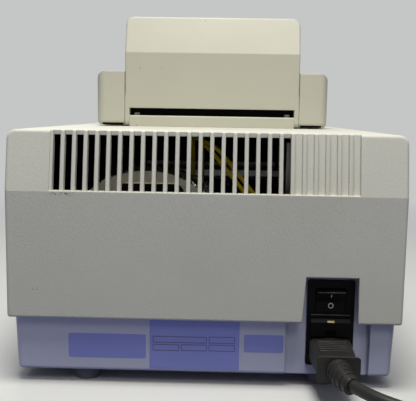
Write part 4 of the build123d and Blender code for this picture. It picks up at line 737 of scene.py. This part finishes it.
def addFoils(s):
    tilt = math.radians(s["lean"])
    turn = Matrix.Rotation(-tilt, 4, "X")

    def onWall(x, z, height):
        y = s["footY"] + (z - s["footZ"]) * math.tan(tilt)
        return Vector((x, y + height * math.cos(tilt), z - height * math.sin(tilt)))

    for name, (left, right, low, high, corner) in s["foils"].items():
        centre = onWall((left + right) / 2, (low + high) / 2, s["thickness"] / 2)
        size = (left - right, s["thickness"], high - low)
        addBar(name, size, centre, "plainFoil", "root", "base_plastic", corner, turn)
    for number, (left, right, low, high) in enumerate(s["boxes"]):
        rules = (
            ((left + right) / 2, low, left - right, s["rule"]),
            ((left + right) / 2, high, left - right, s["rule"]),
            (left, (low + high) / 2, s["rule"], high - low),
            (right, (low + high) / 2, s["rule"], high - low),
        )
        for part, (x, z, width, height) in enumerate(rules):
            centre = onWall(x, z, s["thickness"] * 1.2)
            size = (width, s["thickness"], height)
            addBar(f"rule{number}{part}", size, centre, "foilInk", "root", "base_plastic", 0, turn)


addFoils(foilSettings)

# Marks of the mains switch, on the two faces of its rocker
switchSettings = {
    "axis": (-0.0843, 0.193, 0.0603),
    "lean": -10.0,
    "dip": 0.0041,
    "crest": 0.0058,
    "crestZ": 0.00738,
    "lift": 0.00006,
    "barZ": 0.0046,
    "ringZ": -0.0026,
    "barSize": (0.0005, 0.00012, 0.0019),
    "ringRadius": 0.00155,
    "ringBand": 0.0005,
}


def addSwitchMarks(s):
    slope = math.atan2(s["crest"] - s["dip"], s["crestZ"])
    swing = Matrix.Translation(s["axis"]) @ Matrix.Rotation(math.radians(s["lean"]), 4, "X")

    def onFace(z):
        y = s["dip"] + abs(z) / s["crestZ"] * (s["crest"] - s["dip"]) + s["lift"]
        tip = -slope if z > 0 else slope
        return swing @ Matrix.Translation((0, y, z)) @ Matrix.Rotation(tip, 4, "X")

    shape = bmesh.new()
    bar = bmesh.ops.create_cube(shape, size=1.0)["verts"]
    bmesh.ops.scale(shape, verts=bar, vec=s["barSize"])
    bmesh.ops.transform(shape, matrix=onFace(s["barZ"]), verts=bar)
    before = set(shape.verts)
    wire = bmesh.ops.create_circle(
        shape, segments=8, radius=s["ringBand"] / 2, matrix=Matrix.Translation((s["ringRadius"], 0, 0))
    )["verts"]
    edges = list({e for v in wire for e in v.link_edges})
    bmesh.ops.spin(
        shape, geom=edges, cent=(0, 0, 0), axis=(0, 1, 0), angle=2 * math.pi, steps=36, use_merge=True
    )
    ring = [v for v in shape.verts if v not in before]
    bmesh.ops.scale(shape, verts=ring, vec=(1, 0.3, 1))
    bmesh.ops.transform(shape, matrix=onFace(s["ringZ"]), verts=ring)
    bmesh.ops.recalc_face_normals(shape, faces=shape.faces)
    marks = addPiece("switchMarks", shape, "whitePrintAndHighlight", "rocker")


addSwitchMarks(switchSettings)

# Prints on the control panel: key squares, digits and a dark border round the display
keypadSettings = {
    "middle": (0.0, -0.1515, 0.13445),
    "lean": 34.99,
    "pad": (0.0600, 0.0),
    "spacing": 0.019,
    "keySize": 0.0132,
    "digits": ("123 ", "456 ", "789 ", " 0  "),
    "digitSize": 0.0085,
    "softKeys": (-0.0360, -0.0220),
    "softCount": 5,
    "softSize": 0.0087,
    "corner": 0.0014,
    "keyTop": 0.0005,
    "ink": 0.00006,
    "window": (-0.0360, 0.0220),
    "windowSize": (0.1000, 0.0360),
    "border": 0.0026,
}


def addKeypadPrints(s):
    panel = Matrix.Translation(s["middle"]) @ Matrix.Rotation(math.radians(s["lean"]), 4, "X")
    keys, digits, border = bmesh.new(), bmesh.new(), bmesh.new()

    def tile(shape, u, v, width, length, foot):
        made = bmesh.ops.create_cube(shape, size=1.0)["verts"]
        bmesh.ops.scale(shape, verts=made, vec=(width, length, s["ink"]))
        bmesh.ops.translate(shape, verts=made, vec=(u, v, foot + s["ink"] / 2))

    def figure(letter, u, v):
        outline = bpy.data.curves.new("digit", "FONT")
        outline.body = letter
        outline.size = s["digitSize"]
        outline.extrude = s["ink"] / 2
        outline.align_x = "CENTER"
        outline.align_y = "CENTER"
        holder = bpy.data.objects.new("digit", outline)
        flat = bpy.data.meshes.new_from_object(holder)
        before = set(digits.verts)
        digits.from_mesh(flat)
        made = [vertex for vertex in digits.verts if vertex not in before]
        bmesh.ops.translate(digits, verts=made, vec=(u, v, s["keyTop"] + 1.5 * s["ink"]))
        bpy.data.objects.remove(holder)
        bpy.data.curves.remove(outline)
        bpy.data.meshes.remove(flat)

    for row, letters in enumerate(s["digits"]):
        v = s["pad"][1] + (1.5 - row) * s["spacing"]
        for column, letter in enumerate(letters):
            u = s["pad"][0] + (column - 1.5) * s["spacing"]
            tile(keys, u, v, s["keySize"], s["keySize"], s["keyTop"])
            if letter.strip():
                figure(letter, u, v)
    for number in range(s["softCount"]):
        u = s["softKeys"][0] + (number - (s["softCount"] - 1) / 2) * s["spacing"]
        tile(keys, u, s["softKeys"][1], s["keySize"], s["softSize"], s["keyTop"])
    upright = [e for e in keys.edges if abs((e.verts[0].co - e.verts[1].co).z) > s["ink"] / 2]
    bmesh.ops.bevel(
        keys, geom=upright, offset=s["corner"], affect="EDGES", segments=4, profile=0.5, material=-1,
        offset_type="OFFSET",
    )
    u, v = s["window"]
    width, length = s["windowSize"]
    for side in (-1, 1):
        tile(border, u, v + side * (length + s["border"]) / 2, width + 2 * s["border"], s["border"], 0.0)
        tile(border, u + side * (width + s["border"]) / 2, v, s["border"], length, 0.0)
    for name, shape, finish in (
        ("keySquares", keys, "keyGrey"),
        ("keyDigits", digits, "foilInk"),
        ("displayBorder", border, "foilInk"),
    ):
        bmesh.ops.transform(shape, matrix=panel, verts=shape.verts)
        addPiece(name, shape, finish, "root")


addKeypadPrints(keypadSettings)

# Ledge between switch and fuse drawer, a pale bar painted as a highlight on the rocker's top edge, tab of the
# drawer, cut edge of the terminal bracket brightened as a painted highlight, and black bars painted as shade:
# behind the heated plate and in the slots under the lid's pods
barSettings = {
    "inletLedge": {
        "size": (0.0258, 0.0010, 0.0007), "centre": (-0.0840, 0.1985, 0.0509),
        "finish": "cableRubber", "body": "root", "slotName": "black_plastic",
    },
    # Pale bar on the rocker's top edge: a painted highlight
    "rockerHighlightBar": {
        "size": (0.0184, 0.0005, 0.0005), "centre": (-0.0843, 0.1996, 0.0664),
        "finish": "whitePrintAndHighlight", "body": "rocker", "slotName": "black_plastic",
    },
    "drawerTab": {
        "size": (0.0046, 0.0004, 0.0012), "centre": (-0.0843, 0.2004, 0.0468),
        "finish": "fibreEdge", "body": "drawer", "slotName": "black_plastic",
    },
    # Cut edge of the terminal bracket: its tan colour, brightened as a painted highlight for the light from
    # above
    "bracketEdgeHighlight": {
        "size": (0.0330, 0.0016, 0.0006), "centre": (0.0375, 0.18925, 0.1358),
        "finish": "fibreEdge", "body": "root", "slotName": "black_plastic",
    },
    # Black bars put where there is only shade: painted shade behind the heated plate and in the slots under
    # the pods
    "rearShadeBar": {
        "size": (0.1490, 0.0008, 0.0200), "centre": (0.0, 0.0261, 0.18395),
        "finish": "blackPlastic", "body": "lid", "slotName": "black_plastic",
    },
    "leftPodShadeBar": {
        "size": (0.0180, 0.0014, 0.0018), "centre": (0.0860, 0.0396, 0.1726),
        "finish": "blackPlastic", "body": "lid", "slotName": "black_plastic",
    },
    "rightPodShadeBar": {
        "size": (0.0180, 0.0014, 0.0018), "centre": (-0.0860, 0.0396, 0.1726),
        "finish": "blackPlastic", "body": "lid", "slotName": "black_plastic",
    },
}
for barName, barValues in barSettings.items():
    addBar(barName, **barValues)
print("foils and marks placed")


# Mains lead: from the connector's sleeve round to the coil put away on the bench, and its short tail
leadSettings = {
    "route": [
        (-0.0896, 0.2558, 0.0249),
        (-0.0976, 0.2693, 0.0245),
        (-0.1102, 0.2794, 0.0232),
        (-0.1262, 0.2848, 0.0204),
        (-0.1454, 0.2842, 0.0164),
        (-0.1696, 0.2787, 0.0109),
        (-0.1952, 0.2700, 0.0063),
        (-0.2193, 0.2598, 0.0040),
    ],
    "diameter": 0.0076,
    "coilCentre": (-0.2000, 0.2141),
    "outerTurn": 0.0496,
    "rows": 4,
    "joinAngle": 112.9,
    "pointsPerTurn": 16,
    "tail": 0.042,
    "length": 1.857,
}


def coilRoute(s):
    count = s["pointsPerTurn"]
    pitch = s["diameter"]
    swell = 1 / math.cos(math.pi / count)  # the spline runs inside its control points
    radii = [s["outerTurn"] - pitch * row for row in range(s["rows"])]
    turns = [(r, pitch / 2) for r in radii] + [(r, pitch * 1.5) for r in reversed(radii[1:])]
    points = []
    for number, (radius, height) in enumerate(turns):
        nextRadius, nextHeight = turns[number + 1] if number + 1 < len(turns) else (radius, height)
        for step in range(count):
            change = max(0.0, (step + 1 - count * 0.75) / (count * 0.25))
            dip = 0.0026 * math.sin(math.pi * change) if nextHeight != height else 0.0
            angle = math.radians(s["joinAngle"] + 360 * (step + 1) / count)
            r = (radius + (nextRadius - radius) * change - dip) * swell
            z = height + (nextHeight - height) * change
            x = s["coilCentre"][0] + r * math.cos(angle)
            y = s["coilCentre"][1] + r * math.sin(angle)
            points.append((x, y, z))
    return points


def addLead(s):
    coil = coilRoute(s)
    leaveX = s["coilCentre"][0] - s["outerTurn"]
    leaveZ = s["diameter"] * 1.5
    bend = [
        (s["coilCentre"][0] + s["outerTurn"] * 1.02 * math.cos(math.radians(a)),
         s["coilCentre"][1] + s["outerTurn"] * 1.02 * math.sin(math.radians(a)), leaveZ)
        for a in (134.0, 156.0, 174.0)
    ]
    tail = [(leaveX, s["coilCentre"][1] - s["tail"] * share, leaveZ) for share in (0.1, 0.4, 0.7, 1.0)]
    route = s["route"] + coil + bend + tail
    curve = bpy.data.curves.new("mainsLead", "CURVE")
    curve.dimensions = "3D"
    curve.bevel_depth = s["diameter"] / 2
    curve.bevel_resolution = 5
    curve.resolution_u = 6
    curve.use_fill_caps = True
    spline = curve.splines.new("NURBS")
    spline.points.add(len(route) - 1)
    for point, where in zip(spline.points, route):
        point.co = (*where, 1.0)
    spline.order_u = 3
    spline.use_endpoint_u = True
    curve.materials.append(finishes["cableRubber"])
    lead = bpy.data.objects.new("mainsLead", curve)
    scene.collection.objects.link(lead)
    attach(lead, "root")
    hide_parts("mains_cord", "cord_coil")


addLead(leadSettings)
print("lead laid")


# Light, floor and background
stageSettings = {
    "background": paint(197, 198, 198),
    "floor": paint(206, 206, 204),
    "bounce": paint(84, 89, 124),
    "fadeStart": 0.42,
    "fadeEnd": 0.95,
    "fill": paint(226, 230, 240),
    "fillStrength": 0.26,
    "ceiling": {
        "place": (0.0, 0.42, 1.1), "aim": (0.0, 0.15, 0.1),
        "size": 0.45, "power": 11.2, "colour": (1.0, 0.985, 0.93),
    },
    "room": {
        "place": (-0.25, 1.35, 1.35), "aim": (0.0, 0.2, 0.05),
        "size": 0.6, "power": 4.6, "colour": (1.0, 0.98, 0.95),
    },
    "front": {
        "place": (0.3, -1.0, 1.2), "aim": (0.0, 0.0, 0.1),
        "size": 0.8, "power": 5.0, "colour": (1.0, 1.0, 1.0),
    },
}


def addLamp(name, s):
    data = bpy.data.lights.new(name, "AREA")
    data.shape = "DISK"
    data.size = s["size"]
    data.energy = s["power"]
    data.color = s["colour"]
    lamp = bpy.data.objects.new(name, data)
    scene.collection.objects.link(lamp)
    lamp.location = s["place"]
    lamp.rotation_euler = (Vector(s["aim"]) - Vector(s["place"])).to_track_quat("-Z", "Y").to_euler()


def straightRays(tree):  # camera, glossy and transmitted rays see the plain background
    rays = put(tree, "ShaderNodeLightPath").outputs
    seen = sums(tree, "MAXIMUM", rays["Is Camera Ray"], rays["Is Glossy Ray"])
    return sums(tree, "MAXIMUM", seen, rays["Is Transmission Ray"])


def addWorld(s):
    world = bpy.data.worlds.new("plainRoom")
    world.use_nodes = True
    tree = world.node_tree
    tree.nodes.clear()
    seen = put(tree, "ShaderNodeBackground", {"Color": s["background"], "Strength": 1.0}).outputs[0]
    fill = put(tree, "ShaderNodeBackground", {"Color": s["fill"], "Strength": s["fillStrength"]}).outputs[0]
    both = put(tree, "ShaderNodeMixShader", {0: straightRays(tree), 1: fill, 2: seen}).outputs[0]
    put(tree, "ShaderNodeOutputWorld", {"Surface": both})
    scene.world = world


def addFloor(s):
    shape = bmesh.new()
    bmesh.ops.create_circle(shape, cap_ends=True, segments=96, radius=6.0)
    mesh = bpy.data.meshes.new("floor")
    shape.to_mesh(mesh)
    shape.free()
    material, tree, shader = newMaterial("paleFloor")
    where = put(tree, "ShaderNodeTexCoord").outputs["Object"]
    distance = put(tree, "ShaderNodeVectorMath", {0: where}, operation="LENGTH").outputs["Value"]
    far = spread(tree, distance, s["fadeStart"], s["fadeEnd"])
    tree.nodes.remove(shader)
    mattColour = blendColours(tree, straightRays(tree), s["bounce"], s["floor"])
    matt = put(tree, "ShaderNodeBsdfDiffuse", {"Color": mattColour}).outputs[0]
    glow = put(tree, "ShaderNodeEmission", {"Color": s["background"], "Strength": 1.0}).outputs[0]
    share = sums(tree, "MULTIPLY", far, straightRays(tree))
    both = put(tree, "ShaderNodeMixShader", {0: share, 1: matt, 2: glow}).outputs[0]
    tree.links.new(both, tree.nodes["Material Output"].inputs["Surface"])
    mesh.materials.append(material)
    floor = bpy.data.objects.new("floor", mesh)
    scene.collection.objects.link(floor)


for lampName in ("ceiling", "room", "front"):
    addLamp(lampName, stageSettings[lampName])
addWorld(stageSettings)
addFloor(stageSettings)
print("stage lit")
